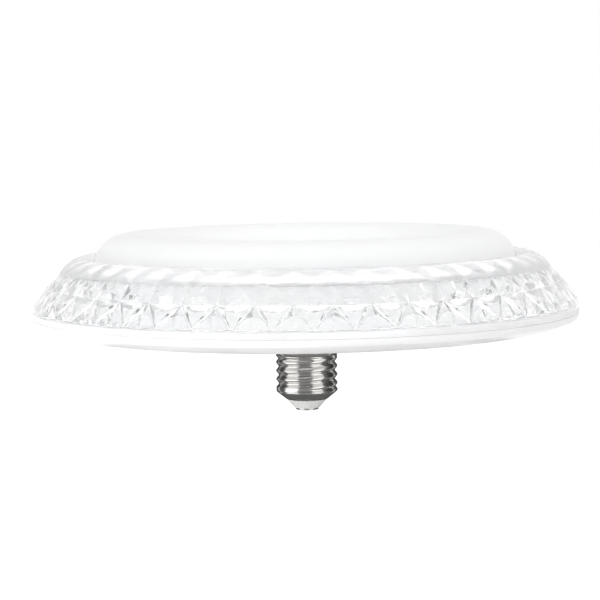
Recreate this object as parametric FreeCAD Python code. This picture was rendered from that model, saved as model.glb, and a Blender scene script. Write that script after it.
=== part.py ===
import FreeCAD
import Part
import math
import os

# LED disc lamp: a screw cap carries a flat white pan, and a cut-crystal ring and an opal ring cover close it.
# Millimetres. The lamp's axis is Z, and height 0 is the tip of the cap's centre contact.

# Screw cap, the common 27 mm one, rolled from thin sheet
cap_crest_radius = 13.1
cap_height = 26.6
cap_sheet = 0.35
thread_pitch = 3.629
thread_depth = 1.05
thread_bottom = 8.4
collar_length = 3.0
thread_start_deg = 319.0
thread_steps_per_turn = 24
thread_rows_per_pitch = 10
collar_step = 0.05
shoulder_drop = 0.9
cap_shoulder_radius = 12.5
cap_mouth_radius = 7.84
cap_mouth_height = 4.0
thread_fade_turns = 0.55
shoulder_bulge = 0.1

# Cap's insulator and centre contact
contact_radius = 4.9
contact_thickness = 0.8
contact_edge_radius = 0.3
contact_stem_radius = 1.1
contact_stem_height = 9.0
contact_stem_chamfer = 0.4
insulator_foot_radius = 5.3
insulator_edge_radius = 0.3
insulator_chamfer = 0.6
insulator_lip_drop = 0.2
insulator_top = 7.4
insulator_well_radius = 4.0
insulator_well_depth = 2.2
stem_clearance = 0.05
cap_clearance = 0.15

# Pan, one white moulding with a neck that plugs into the cap
pan_depth = 15.2
pan_wall = 2.0
neck_radius = 17.0
neck_height = 2.4
neck_edge_radius = 0.6
neck_blend_radius = 1.6
neck_bore_radius = 9.7
plug_length = 12.6
pan_knee_inset = 17.0
pan_knee_drop = 6.9
pan_lip_height = 1.2
pan_lip_drop = 3.1
pan_lip_foot_inset = 1.7
pan_rim_arc_inset = 7.0
pan_rim_arc_rise = 1.85
pan_bevel = 0.4
pan_floor_thickening = 6.0
upstand_height = 2.9
upstand_wall = 2.0
rib_count = 12
rib_thickness = 1.6
rib_inner_radius = 36.0
rib_corner = 3.0
vent_count = 24
vent_inner_radius = 38.0
vent_outer_radius = 52.0
vent_width = 2.4
snap_count = 12
snap_span_deg = 7.0
snap_height = 0.4
snap_rise = 1.1
snap_groove_depth = 0.5
snap_groove_gap = 0.1

# Opal cover, a raised ring round a sunken middle
crown_radius = 75.6
crown_arc = 13.5
crown_flat = 1.6
crown_inner_arc = 8.0
cover_wall = 1.8
well_depth = 16.0
well_fillet = 5.0
well_rise = 1.4
cover_shelf_rise = 20.7
cover_shelf_width = 1.8
cover_shelf_thickness = 1.6
cover_skirt_inset = 0.25
cover_foot_width = 1.5
cover_foot_height = 1.2

# Crystal ring, smooth outside and cut into facets inside
ring_reach = 25.7
ring_gap = 0.2
ring_repeats = 46
ring_phase_deg = 1.35
hem_wall = 2.1
hem_edge_radius = 0.3
hem_height = 2.6
shoulder_inset = 1.0
shoulder_rise = 6.2
slope_bow = 0.9
notch_inset = 11.6
notch_rise = 18.2
bulge_inset = 21.2
bulge_rise = 24.9
bulge_side_inset = 15.0
bulge_side_rise = 22.6
rim_rise = 23.2
rim_crown = 0.3
facet_floor_rise = 3.0
facet_floor_inset = 3.0
facet_waist_inset = 13.8
facet_waist_rise = 18.0
facet_rim_width = 2.1

# Cut pattern: levels are shares of a band's height, reaches are shares of a repeat, and a depth runs
# from the band towards the outside, so a negative one stands proud
star_level = 0.56
star_depth = -1.4
eye_ridge_reach = 0.15
eye_ridge_depth = -1.6
eye_half_height = 0.19
eye_lid_depth = 0.5
eye_corner_share = 0.75
eye_corner_depth = 0.3
fan_fold_level = 0.5
fan_fold_depth = 0.3
vane_reach = 0.18
vane_level = 0.45
vane_depth = -0.3
leaf_level = 0.5
leaf_ridge_depth = -0.4
leaf_cheek_reach = 0.22
leaf_cheek_rise = 0.04
leaf_cheek_depth = 0.6
bud_side_depth = 1.0
bud_crown_depth = 0.4

# LED board and its fixings
board_seat_rise = 1.3
board_thickness = 1.2
board_gap = 0.3
board_hole_radius = 6.0
boss_circle_inset = 15.6
boss_radius = 3.4
boss_count = 6
screw_radius = 1.3
screw_head_radius = 2.7
screw_head_height = 1.8
screw_length = 8.0
screw_pilot_gap = 0.1
screw_pilot_radius = 1.4
screw_tip_room = 1.0
driver_screw_tip_room = 0.3
screw_hole_gap = 0.4
chip_width = 2.8
chip_length = 3.5
chip_height = 0.8
chip_window_radius = 1.15
chip_window_depth = 0.12
outer_chip_offset = 2.4
outer_chip_count = 42
inner_chip_inset = 29.6
inner_chip_count = 20

# Driver board and its parts
driver_length = 52.0
driver_width = 36.0
driver_corner = 6.0
driver_thickness = 1.2
driver_rise = 6.8
post_x = 21.0
post_y = 13.5
post_radius = 2.8
driver_screw_length = 4.2
wire_radius = 0.65
wire_hole_radius = 0.75
lead_radius = 0.3

# Places that follow from the sizes above
origin = FreeCAD.Vector(0, 0, 0)
axis = FreeCAD.Vector(0, 0, 1)
thread_top = cap_height - collar_length
plug_bottom = cap_height - plug_length
seam_height = cap_height + pan_depth
crown_centre_height = seam_height + cover_shelf_rise
cover_radius = crown_radius + crown_arc
lamp_top = crown_centre_height + crown_arc
lamp_radius = cover_radius + ring_gap + ring_reach
hem_inner_radius = lamp_radius - hem_wall
upstand_radius = hem_inner_radius - board_gap
upstand_top = seam_height + upstand_height
board_bottom = seam_height + board_seat_rise
board_top = board_bottom + board_thickness
board_radius = upstand_radius - upstand_wall - board_gap
shell_bore_radius = cap_crest_radius - cap_sheet
thread_bore_radius = shell_bore_radius - thread_depth
boss_circle_radius = crown_radius - boss_circle_inset
driver_seat = cap_height + driver_rise
driver_top = driver_seat + driver_thickness
snap_length = 2.5 * snap_height
well_floor = lamp_top - well_depth


# A point of a section, as radius and height
def at(radius, height):
    return FreeCAD.Vector(radius, 0, height)


# A point on an arc of a section, given its centre, radius and angle above the horizontal
def on_arc(centre, radius, angle_deg):
    angle = math.radians(angle_deg)
    return (centre[0] + radius * math.cos(angle), centre[1] + radius * math.sin(angle))


# Edges from a start through points: a pair of points in one step is an arc through the first to the second
def section_edges(start, steps):
    edges = []
    here = start
    for step in steps:
        is_arc = isinstance(step[0], tuple)
        there = step[1] if is_arc else step
        if is_arc:
            edges.append(Part.Arc(at(*here), at(*step[0]), at(*there)).toShape())
        else:
            edges.append(Part.makeLine(at(*here), at(*there)))
        here = there
    return edges


# A turned solid from a closed section
def turned(start, steps):
    wire = Part.Wire(section_edges(start, list(steps) + [start]))
    return Part.Face(wire).revolve(origin, axis, 360)


# Faces swept by an open section, for sewing to faces that aren't turned
def turned_faces(start, steps):
    return Part.Wire(section_edges(start, steps)).revolve(origin, axis, 360).Faces


# A flat face at one height between an outer loop and an inner one
def flat_ring(outer_wire, inner_wire):
    return Part.makeFace([outer_wire, inner_wire], "Part::FaceMakerBullseye")


def circle_wire(radius, height):
    return Part.Wire(Part.makeCircle(radius, at(0, height)))


# One solid from faces whose edges meet
def sewn_solid(faces):
    shell = Part.makeCompound(faces)
    shell.sewShape(0.002)
    solid = Part.makeSolid(Part.Shell(shell.Faces))
    if solid.Volume < 0:
        solid.reverse()
    return solid


def round_bar(radius, bottom, top, x=0.0, y=0.0):
    return Part.makeCylinder(radius, top - bottom, FreeCAD.Vector(x, y, bottom))


def block(length, width, height, x=0.0, y=0.0, bottom=0.0):
    return Part.makeBox(length, width, height, FreeCAD.Vector(x - length / 2, y - width / 2, bottom))


def spun(shape, angle_deg):
    turned_copy = shape.copy()
    turned_copy.rotate(origin, axis, angle_deg)
    return turned_copy


# Angles of equal steps round the axis
def steps_round(count, first_deg=0.0):
    return [first_deg + 360.0 * i / count for i in range(count)]


# A round wire along straight runs, joined by tangent arcs as large as the shorter run allows
def bent_wire(points, radius):
    corners = [FreeCAD.Vector(*p) for p in points]
    edges = []
    here = corners[0]
    for before, corner, after in zip(corners, corners[1:], corners[2:]):
        back = (before - corner).normalize()
        ahead = (after - corner).normalize()
        reach = 0.45 * min((before - corner).Length, (after - corner).Length)
        turn = math.pi - back.getAngle(ahead)
        bend_radius = reach / math.tan(turn / 2)
        arc_start = corner + back * reach
        arc_end = corner + ahead * reach
        middle = (back + ahead).normalize()
        arc_middle = corner + middle * (bend_radius / math.cos(turn / 2) - bend_radius)
        edges.append(Part.makeLine(here, arc_start))
        edges.append(Part.Arc(arc_start, arc_middle, arc_end).toShape())
        here = arc_end
    edges.append(Part.makeLine(here, corners[-1]))
    path = Part.Wire(edges)
    start_direction = corners[1] - corners[0]
    end_face = Part.Wire(Part.makeCircle(radius, corners[0], start_direction))
    return path.makePipeShell([end_face], True, True)


# Rolled thread: the wall waves between crest and root and fades out towards plain metal at both ends
def thread_radius(angle_deg, height, offset):
    fade = thread_pitch * thread_fade_turns
    near_end = min(height - thread_bottom, thread_top - height)
    strength = math.sin(math.pi / 2 * min(1.0, max(0.0, near_end / fade))) ** 2
    turn = height / thread_pitch - (angle_deg - thread_start_deg) / 360.0
    groove = (1.0 - math.cos(2.0 * math.pi * turn)) / 2.0
    return cap_crest_radius - offset - thread_depth * strength * groove


def thread_wall(offset):
    rows = math.ceil((thread_top - thread_bottom) / thread_pitch * thread_rows_per_pitch)
    grid = []
    for row in range(rows + 1):
        height = thread_bottom + (thread_top - thread_bottom) * row / rows
        line = []
        for angle in steps_round(thread_steps_per_turn) + [360.0]:
            radius = thread_radius(angle, height, offset)
            around = math.radians(angle)
            line.append(FreeCAD.Vector(radius * math.cos(around), radius * math.sin(around), height))
        grid.append(line)
    surface = Part.BSplineSurface()
    surface.interpolate(grid)
    return surface.toShape()


# The wall's closed edge at a height
def rim_wire(wall, height):
    return Part.Wire([edge for edge in wall.Edges if edge.BoundBox.ZLength < 0.01
                      and abs(edge.CenterOfMass.z - height) < 0.01])


# Cap shell: plain collar, rolled thread and the cone that holds the insulator, in one thin sheet
def cap_shell():
    outside = thread_wall(collar_step)
    inside = thread_wall(collar_step + cap_sheet)
    collar = turned_faces(
        (cap_crest_radius, thread_top),
        [(cap_crest_radius, cap_height), (shell_bore_radius, cap_height), (shell_bore_radius, thread_top)],
    )
    lip = (cap_mouth_radius, cap_mouth_height)
    shoulder = (cap_shoulder_radius, thread_bottom - shoulder_drop)
    slope = math.atan2(shoulder[1] - lip[1], shoulder[0] - lip[0])
    inset = (-cap_sheet * math.sin(slope), cap_sheet * math.cos(slope))
    brim = cap_crest_radius - 2 * collar_step
    bend = (brim - shoulder_bulge, thread_bottom - shoulder_drop / 2)
    inner_bend = (bend[0] - cap_sheet, bend[1] + shoulder_bulge)
    cone = turned_faces(
        (brim, thread_bottom),
        [
            (bend, shoulder),
            lip,
            (lip[0] + inset[0], lip[1] + inset[1]),
            (shoulder[0] + inset[0], shoulder[1] + inset[1]),
            (inner_bend, (brim - cap_sheet, thread_bottom)),
        ],
    )
    steps = [
        flat_ring(circle_wire(cap_crest_radius, thread_top), rim_wire(outside, thread_top)),
        flat_ring(circle_wire(shell_bore_radius, thread_top), rim_wire(inside, thread_top)),
        flat_ring(rim_wire(outside, thread_bottom), circle_wire(brim, thread_bottom)),
        flat_ring(rim_wire(inside, thread_bottom), circle_wire(brim - cap_sheet, thread_bottom)),
    ]
    return sewn_solid([outside, inside] + collar + cone + steps)


# Radius of the cone's inner side at a height
def cone_bore(height):
    rise = (height - cap_mouth_height) / (thread_bottom - shoulder_drop - cap_mouth_height)
    return cap_mouth_radius - cap_sheet + rise * (cap_shoulder_radius - cap_mouth_radius)


def cap_insulator():
    hole = contact_stem_radius + stem_clearance
    mouth = cap_mouth_radius - cap_sheet - cap_clearance
    top_radius = cone_bore(insulator_top - insulator_chamfer) - 2 * cap_clearance
    foot_edge = (insulator_foot_radius - insulator_edge_radius, contact_thickness + insulator_edge_radius)
    body = turned(
        (hole, contact_thickness),
        [
            (foot_edge[0], contact_thickness),
            (on_arc(foot_edge, insulator_edge_radius, -45), (insulator_foot_radius, foot_edge[1])),
            (mouth, cap_mouth_height - insulator_lip_drop),
            (mouth, cap_mouth_height + cap_sheet),
            (top_radius, insulator_top - insulator_chamfer),
            (top_radius - insulator_chamfer, insulator_top),
            (insulator_well_radius, insulator_top),
            (insulator_well_radius, insulator_top - insulator_well_depth),
            (hole, insulator_top - insulator_well_depth),
        ],
    )
    return body


# Centre contact, a flat-headed pin pressed through the insulator onto the phase wire
def centre_contact():
    edge = (contact_radius - contact_edge_radius, contact_edge_radius)
    return turned(
        (0.0, 0.0),
        [
            (edge[0], 0.0),
            (on_arc(edge, contact_edge_radius, -45), (contact_radius, contact_edge_radius)),
            (contact_radius, contact_thickness),
            (contact_stem_radius, contact_thickness),
            (contact_stem_radius, contact_stem_height - contact_stem_chamfer),
            (contact_stem_radius - contact_stem_chamfer, contact_stem_height),
            (0.0, contact_stem_height),
        ],
    )


# Pan's outline where its underside bends up into the rim
pan_knee = (lamp_radius - pan_knee_inset, seam_height - pan_knee_drop)
neck_top = (neck_radius + neck_blend_radius, cap_height + neck_height)


# Height of the pan's underside along its straight fall
def underside(radius):
    share = (radius - neck_top[0]) / (pan_knee[0] - neck_top[0])
    return neck_top[1] + share * (pan_knee[1] - neck_top[1])


def pan_shell():
    plug_radius = thread_bore_radius - cap_clearance
    collar_radius = shell_bore_radius - cap_clearance
    bend = (neck_radius - neck_edge_radius, cap_height + neck_edge_radius)
    lip_edge = (lamp_radius, seam_height - pan_lip_height)
    lip_bend = (lamp_radius - 0.5, seam_height - pan_lip_height - 1.1)
    lip_foot = (lamp_radius - pan_lip_foot_inset, seam_height - pan_lip_drop)
    inner_wall = upstand_radius - upstand_wall
    rim_arc_middle = (lamp_radius - pan_rim_arc_inset, pan_knee[1] + pan_rim_arc_rise)
    inner_knee = (pan_knee[0] - pan_bevel, pan_knee[1] + pan_wall)
    floor_edge = (inner_wall, seam_height - pan_lip_drop + 0.6)
    floor_start_radius = neck_bore_radius + pan_floor_thickening
    floor_start = (floor_start_radius, underside(floor_start_radius) + pan_wall)
    return turned(
        (neck_bore_radius, plug_bottom),
        [
            (plug_radius, plug_bottom),
            (plug_radius, thread_top - pan_bevel),
            (collar_radius, thread_top + pan_bevel),
            (collar_radius, cap_height),
            (bend[0], cap_height),
            (on_arc(bend, neck_edge_radius, -45), (neck_radius, bend[1])),
            (neck_radius, neck_top[1] - neck_blend_radius),
            (on_arc((neck_top[0], neck_top[1] - neck_blend_radius), neck_blend_radius, 135), neck_top),
            pan_knee,
            (rim_arc_middle, lip_foot),
            (lip_bend, lip_edge),
            (lamp_radius, seam_height),
            (upstand_radius, seam_height),
            (upstand_radius, upstand_top - pan_bevel),
            (upstand_radius - pan_bevel, upstand_top),
            (inner_wall, upstand_top),
            floor_edge,
            inner_knee,
            floor_start,
            (neck_bore_radius, floor_start[1] - 1.0),
        ],
    )


# One stiffening rib, from the pan's floor up to the board
def pan_rib():
    outer = upstand_radius - upstand_wall / 2
    corners = [
        at(rib_inner_radius, underside(rib_inner_radius) + pan_wall / 2),
        at(pan_knee[0], pan_knee[1] + pan_wall / 2),
        at(outer, seam_height - pan_lip_drop),
        at(outer, board_bottom),
        at(rib_inner_radius + rib_corner, board_bottom),
        at(rib_inner_radius, board_bottom - rib_corner),
    ]
    side = Part.Face(Part.makePolygon(corners + corners[:1]))
    side.translate(FreeCAD.Vector(0, -rib_thickness / 2, 0))
    return side.extrude(FreeCAD.Vector(0, rib_thickness, 0))


# One snap on the upstand, a short wedge that clicks into the ring's groove
def pan_snap():
    root = upstand_radius - upstand_wall / 2
    low = seam_height + snap_rise
    high = low + snap_length
    points = [
        at(root, low),
        at(upstand_radius, low),
        at(upstand_radius + snap_height, low + snap_height),
        at(upstand_radius, high),
        at(root, high),
    ]
    wedge = Part.Face(Part.makePolygon(points + points[:1])).revolve(origin, axis, snap_span_deg)
    return spun(wedge, -snap_span_deg / 2)


# One vent slot, with round ends
def pan_vent():
    length = vent_outer_radius - vent_inner_radius
    middle = (vent_outer_radius + vent_inner_radius) / 2
    low = cap_height
    height = board_bottom - low
    slot = block(length - vent_width, vent_width, height, middle, 0, low)
    for x in (vent_inner_radius + vent_width / 2, vent_outer_radius - vent_width / 2):
        slot = slot.fuse(round_bar(vent_width / 2, low, low + height, x, 0))
    return slot


# Places of the driver board's posts
def post_places():
    return [(x, y) for x in (-post_x, post_x) for y in (-post_y, post_y)]


def back_pan():
    added = [spun(pan_rib(), angle) for angle in steps_round(rib_count)]
    boss_floor = underside(boss_circle_radius) + pan_wall / 2
    for angle in steps_round(boss_count):
        boss = round_bar(boss_radius, boss_floor, board_bottom, boss_circle_radius)
        added.append(spun(boss, angle))
    for angle in steps_round(snap_count, 180.0 / snap_count):
        added.append(spun(pan_snap(), angle))
    for x, y in post_places():
        post_floor = underside(math.hypot(x, y)) + pan_wall / 2
        added.append(round_bar(post_radius, post_floor, driver_seat, x, y))
    pan = pan_shell().fuse(added)
    cut = []
    for angle in steps_round(boss_count):
        depth = screw_length - board_thickness + screw_tip_room
        hole = round_bar(screw_pilot_radius, board_bottom - depth, board_bottom + 1.0, boss_circle_radius)
        cut.append(spun(hole, angle))
    for x, y in post_places():
        depth = driver_screw_length - driver_thickness + driver_screw_tip_room
        cut.append(round_bar(screw_pilot_radius, driver_seat - depth, driver_seat + 1.0, x, y))
    for angle in steps_round(vent_count, 180.0 / vent_count):
        cut.append(spun(pan_vent(), angle))
    return pan.cut(cut).removeSplitter()


# Halfway point of a shallow dome that rises from a rim to a top on the lamp's axis
def dome_middle(rim, top_height):
    rise = top_height - rim[1]
    radius = (rim[0] ** 2 + rise ** 2) / (2 * rise)
    half_angle = math.asin(rim[0] / radius) / 2
    return (radius * math.sin(half_angle), top_height - radius + radius * math.cos(half_angle))


# Opal cover: outside from the foot over the crown into the well, then back along the inside
def opal_cover():
    centre = (crown_radius, crown_centre_height)
    inner_centre = (crown_radius - crown_flat, lamp_top - crown_inner_arc)
    wall = cover_radius - cover_skirt_inset
    shelf_under = crown_centre_height - cover_shelf_thickness
    well_side = inner_centre[0] - crown_inner_arc
    fillet_centre = (well_side - well_fillet, well_floor + well_fillet)
    under = cover_wall
    middle_top = well_floor + well_rise
    dome_rim = (fillet_centre[0], well_floor)
    dome_under = (fillet_centre[0], well_floor - under)
    inner_fillet = well_fillet + under
    inner_arc = crown_inner_arc - under
    return turned(
        (cover_radius - under, board_top),
        [
            (wall + cover_foot_width, board_top),
            (wall + cover_foot_width, board_top + cover_foot_height),
            (wall, board_top + cover_foot_height),
            (wall, shelf_under),
            (cover_radius + cover_shelf_width, shelf_under),
            (cover_radius + cover_shelf_width, crown_centre_height),
            (cover_radius, crown_centre_height),
            (on_arc(centre, crown_arc, 45), (crown_radius, lamp_top)),
            (crown_radius - crown_flat, lamp_top),
            (on_arc(inner_centre, crown_inner_arc, 135), (well_side, inner_centre[1])),
            (well_side, fillet_centre[1]),
            (on_arc(fillet_centre, well_fillet, -45), dome_rim),
            (dome_middle(dome_rim, middle_top), (0.0, middle_top)),
            (0.0, middle_top - under),
            (dome_middle(dome_under, middle_top - under), dome_under),
            (on_arc(fillet_centre, inner_fillet, -45), (well_side + under, fillet_centre[1])),
            (well_side + under, inner_centre[1]),
            (on_arc(inner_centre, inner_arc, 135), (inner_centre[0], lamp_top - under)),
            (crown_radius, lamp_top - under),
            (on_arc(centre, crown_arc - under, 45), (cover_radius - under, crown_centre_height)),
        ],
    )


# Crystal ring's two bands of facets, each from a lower line of the section to an upper one
facet_floor = (lamp_radius - facet_floor_inset, seam_height + facet_floor_rise)
facet_waist = (lamp_radius - facet_waist_inset, seam_height + facet_waist_rise)
facet_rim = (cover_radius + ring_gap + facet_rim_width, crown_centre_height)
lower_band = (facet_floor, facet_waist)
upper_band = (facet_waist, facet_rim)


# A corner of the cut pattern, from its place in repeats, its level in the band and its depth
def facet_point(band, place, level, depth):
    low, high = band
    across = (high[0] - low[0], high[1] - low[1])
    length = math.hypot(*across)
    radius = low[0] + across[0] * level + depth * across[1] / length
    height = low[1] + across[1] * level - depth * across[0] / length
    angle = math.radians(-90.0 + ring_phase_deg) + 2.0 * math.pi * (place + 0.5) / ring_repeats
    return FreeCAD.Vector(radius * math.cos(angle), radius * math.sin(angle), height)


def facet(*corners):
    return Part.Face(Part.makePolygon(list(corners) + [corners[0]]))


# Between two stars an eye: a ridge between two lids, and facets from the lids up to a peak and down to a tip
def eye_facets(repeat):
    star = facet_point(lower_band, repeat, star_level, star_depth)
    next_star = facet_point(lower_band, repeat + 1, star_level, star_depth)
    ridge_start = facet_point(lower_band, repeat + 0.5 - eye_ridge_reach, star_level, eye_ridge_depth)
    ridge_end = facet_point(lower_band, repeat + 0.5 + eye_ridge_reach, star_level, eye_ridge_depth)
    facets = []
    for side, end_level in ((1, 1.0), (-1, 0.0)):
        corner_level = star_level + side * eye_half_height * eye_corner_share
        lid_start = facet_point(lower_band, repeat + 0.25, corner_level, eye_corner_depth)
        lid = facet_point(lower_band, repeat + 0.5, star_level + side * eye_half_height, eye_lid_depth)
        lid_end = facet_point(lower_band, repeat + 0.75, corner_level, eye_corner_depth)
        end = facet_point(lower_band, repeat + 0.5, end_level, 0.0)
        facets += [
            facet(star, ridge_start, lid_start),
            facet(ridge_start, lid, lid_start),
            facet(ridge_start, ridge_end, lid),
            facet(ridge_end, lid_end, lid),
            facet(ridge_end, next_star, lid_end),
            facet(star, lid_start, end),
            facet(lid_start, lid, end),
            facet(lid, lid_end, end),
            facet(lid_end, next_star, end),
        ]
    return facets


# Below a star a fan: a fold down its middle and a vane on each side
def fan_facets(repeat):
    star = facet_point(lower_band, repeat, star_level, star_depth)
    fold = facet_point(lower_band, repeat, star_level * fan_fold_level, fan_fold_depth)
    foot = facet_point(lower_band, repeat, 0.0, 0.0)
    facets = []
    for side in (-1, 1):
        tip = facet_point(lower_band, repeat + 0.5 * side, 0.0, 0.0)
        foot_side = facet_point(lower_band, repeat + 0.25 * side, 0.0, 0.0)
        vane = facet_point(lower_band, repeat + vane_reach * side, star_level * vane_level, vane_depth)
        facets += [
            facet(star, tip, vane),
            facet(tip, foot_side, vane),
            facet(foot_side, foot, vane),
            facet(foot, fold, vane),
            facet(fold, star, vane),
        ]
    return facets


# Above a star a leaf: a ridge up its middle and a hollow cheek on each side
def leaf_facets(repeat):
    middle_level = star_level + (1.0 - star_level) * leaf_level
    star = facet_point(lower_band, repeat, star_level, star_depth)
    ridge = facet_point(lower_band, repeat, middle_level, leaf_ridge_depth)
    crest = facet_point(lower_band, repeat, 1.0, 0.0)
    facets = []
    for side in (-1, 1):
        peak = facet_point(lower_band, repeat + 0.5 * side, 1.0, 0.0)
        cheek_place = repeat + leaf_cheek_reach * side
        cheek = facet_point(lower_band, cheek_place, middle_level + leaf_cheek_rise, leaf_cheek_depth)
        facets += [
            facet(star, ridge, cheek),
            facet(ridge, crest, cheek),
            facet(star, cheek, peak),
            facet(cheek, crest, peak),
        ]
    return facets


# In the upper band, over each star, an upright bud with a plain triangle at each of its four corners
def bud_facets(repeat):
    foot = facet_point(upper_band, repeat, 0.0, 0.0)
    crown = facet_point(upper_band, repeat, 0.5, bud_crown_depth)
    head = facet_point(upper_band, repeat, 1.0, 0.0)
    facets = []
    for side in (-1, 1):
        foot_side = facet_point(upper_band, repeat + 0.5 * side, 0.0, 0.0)
        flank = facet_point(upper_band, repeat + 0.5 * side, 0.5, bud_side_depth)
        head_side = facet_point(upper_band, repeat + 0.5 * side, 1.0, 0.0)
        facets += [
            facet(foot, flank, crown),
            facet(crown, flank, head),
            facet(foot, foot_side, flank),
            facet(head, flank, head_side),
        ]
    return facets


# The loop of straight edges where a band of facets starts or ends
def facet_loop(band, level, edges_per_repeat):
    places = [index / edges_per_repeat for index in range(edges_per_repeat * ring_repeats)]
    points = [facet_point(band, place, level, 0.0) for place in places]
    return Part.Wire(Part.makePolygon(points + points[:1]))


def crystal_ring():
    rim_radius = cover_radius + ring_gap
    edge = (lamp_radius - hem_edge_radius, seam_height + hem_edge_radius)
    shoulder = (lamp_radius - shoulder_inset, seam_height + shoulder_rise)
    shoulder_mid = (lamp_radius - shoulder_inset / 4, seam_height + (hem_height + shoulder_rise) / 2)
    notch = (lamp_radius - notch_inset, seam_height + notch_rise)
    run = (notch[0] - shoulder[0], notch[1] - shoulder[1])
    bow = slope_bow / math.hypot(*run)
    slope_mid = ((shoulder[0] + notch[0]) / 2 + run[1] * bow, (shoulder[1] + notch[1]) / 2 - run[0] * bow)
    bulge_side = (lamp_radius - bulge_side_inset, seam_height + bulge_side_rise)
    bulge = (lamp_radius - bulge_inset, seam_height + bulge_rise)
    rim = (rim_radius, seam_height + rim_rise)
    rim_mid = ((bulge[0] + rim[0]) / 2, (bulge[1] + rim[1]) / 2 + rim_crown)
    groove_low = seam_height + snap_rise - snap_groove_gap
    groove_high = groove_low + snap_length + snap_groove_gap + snap_groove_depth
    faces = turned_faces(
        (hem_inner_radius, facet_floor[1]),
        [
            (hem_inner_radius, groove_high),
            (hem_inner_radius + snap_groove_depth, groove_high - snap_groove_depth),
            (hem_inner_radius + snap_groove_depth, groove_low + snap_groove_depth),
            (hem_inner_radius, groove_low),
            (hem_inner_radius, seam_height),
            (edge[0], seam_height),
            (on_arc(edge, hem_edge_radius, -45), (lamp_radius, edge[1])),
            (lamp_radius, seam_height + hem_height),
            (shoulder_mid, shoulder),
            (slope_mid, notch),
            (bulge_side, bulge),
            (rim_mid, rim),
            (rim_radius, crown_centre_height),
        ],
    )
    for repeat in range(ring_repeats):
        faces += eye_facets(repeat)
        faces += fan_facets(repeat)
        faces += leaf_facets(repeat)
        faces += bud_facets(repeat)
    faces.append(flat_ring(circle_wire(hem_inner_radius, facet_floor[1]),
                           facet_loop(lower_band, 0.0, 4)))
    faces.append(flat_ring(facet_loop(upper_band, 1.0, 2), circle_wire(rim_radius, crown_centre_height)))
    return sewn_solid(faces)


def led_board():
    board = round_bar(board_radius, board_bottom, board_top)
    holes = [round_bar(board_hole_radius, board_bottom - 1, board_top + 1)]
    for angle in steps_round(boss_count):
        hole = round_bar(screw_radius + screw_hole_gap, board_bottom - 1, board_top + 1, boss_circle_radius)
        holes.append(spun(hole, angle))
    return board.cut(holes)


# LEDs in rings, each a small package with a round window
def led_chips():
    package = block(chip_width, chip_length, chip_height, 0, 0, board_top)
    window = round_bar(chip_window_radius, board_top + chip_height - chip_window_depth, board_top + chip_height + 1)
    package = package.cut(window)
    chips = []
    rings = (
        (crown_radius + outer_chip_offset, outer_chip_count),
        (crown_radius - inner_chip_inset, inner_chip_count),
    )
    for ring_radius, count in rings:
        placed = package.translated(FreeCAD.Vector(ring_radius, 0, 0))
        chips += [spun(placed, angle) for angle in steps_round(count, 180.0 / count)]
    return Part.makeCompound(chips)


# Pan-head screw with a cross recess, standing on a seat
def pan_head_screw(length, seat):
    head_top = seat + screw_head_height
    screw = turned(
        (0.0, seat - length),
        [
            (screw_radius - 0.7, seat - length),
            (screw_radius - screw_pilot_gap, seat - length + 1.0),
            (screw_radius - screw_pilot_gap, seat),
            (screw_head_radius, seat),
            (screw_head_radius, seat + screw_head_height * 0.35),
            ((screw_head_radius * 0.82, seat + screw_head_height * 0.83), (screw_head_radius * 0.4, head_top)),
            (0.0, head_top),
        ],
    )
    recess_depth = screw_head_height * 0.6
    recess_length = screw_head_radius * 1.1
    recess_width = screw_head_radius * 0.24
    bars = [
        block(recess_length, recess_width, recess_depth + 1, 0, 0, head_top - recess_depth),
        block(recess_width, recess_length, recess_depth + 1, 0, 0, head_top - recess_depth),
    ]
    return screw.cut(bars)


def board_screws():
    screw = pan_head_screw(screw_length, board_top).translated(FreeCAD.Vector(boss_circle_radius, 0, 0))
    return Part.makeCompound([spun(screw, angle) for angle in steps_round(boss_count)])


def driver_screws():
    screw = pan_head_screw(driver_screw_length, driver_top)
    return Part.makeCompound([screw.translated(FreeCAD.Vector(x, y, 0)) for x, y in post_places()])


# Places of the wires' holes in the driver board
phase_hole = (-6.0, 0.0)
neutral_hole = (6.0, 0.0)
positive_hole = (23.0, 8.0)
negative_hole = (23.0, 5.0)


def driver_board():
    half_length = driver_length / 2
    half_width = driver_width / 2
    corners = []
    for x, y in ((1, 1), (-1, 1), (-1, -1), (1, -1)):
        long_side = FreeCAD.Vector(x * (half_length - driver_corner), y * half_width, driver_seat)
        short_side = FreeCAD.Vector(x * half_length, y * (half_width - driver_corner), driver_seat)
        corners += [short_side, long_side] if x * y > 0 else [long_side, short_side]
    outline = Part.Face(Part.makePolygon(corners + corners[:1]))
    board = outline.extrude(FreeCAD.Vector(0, 0, driver_thickness))
    holes = []
    for x, y in post_places():
        holes.append(round_bar(screw_radius + screw_hole_gap, driver_seat - 1, driver_top + 1, x, y))
    for x, y in (phase_hole, neutral_hole, positive_hole, negative_hole):
        holes.append(round_bar(wire_hole_radius, driver_seat - 1, driver_top + 1, x, y))
    return board.cut(holes)


# Two short legs that stand a component on the driver board
def legs(places, top):
    return [round_bar(lead_radius, driver_top, top, x, y) for x, y in places]


# Electrolytic capacitor lying on the board, with its crimp groove
electrolytic_radius = 3.9
electrolytic_length = 13.0
electrolytic_place = (-14.5, 8.0)


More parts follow.
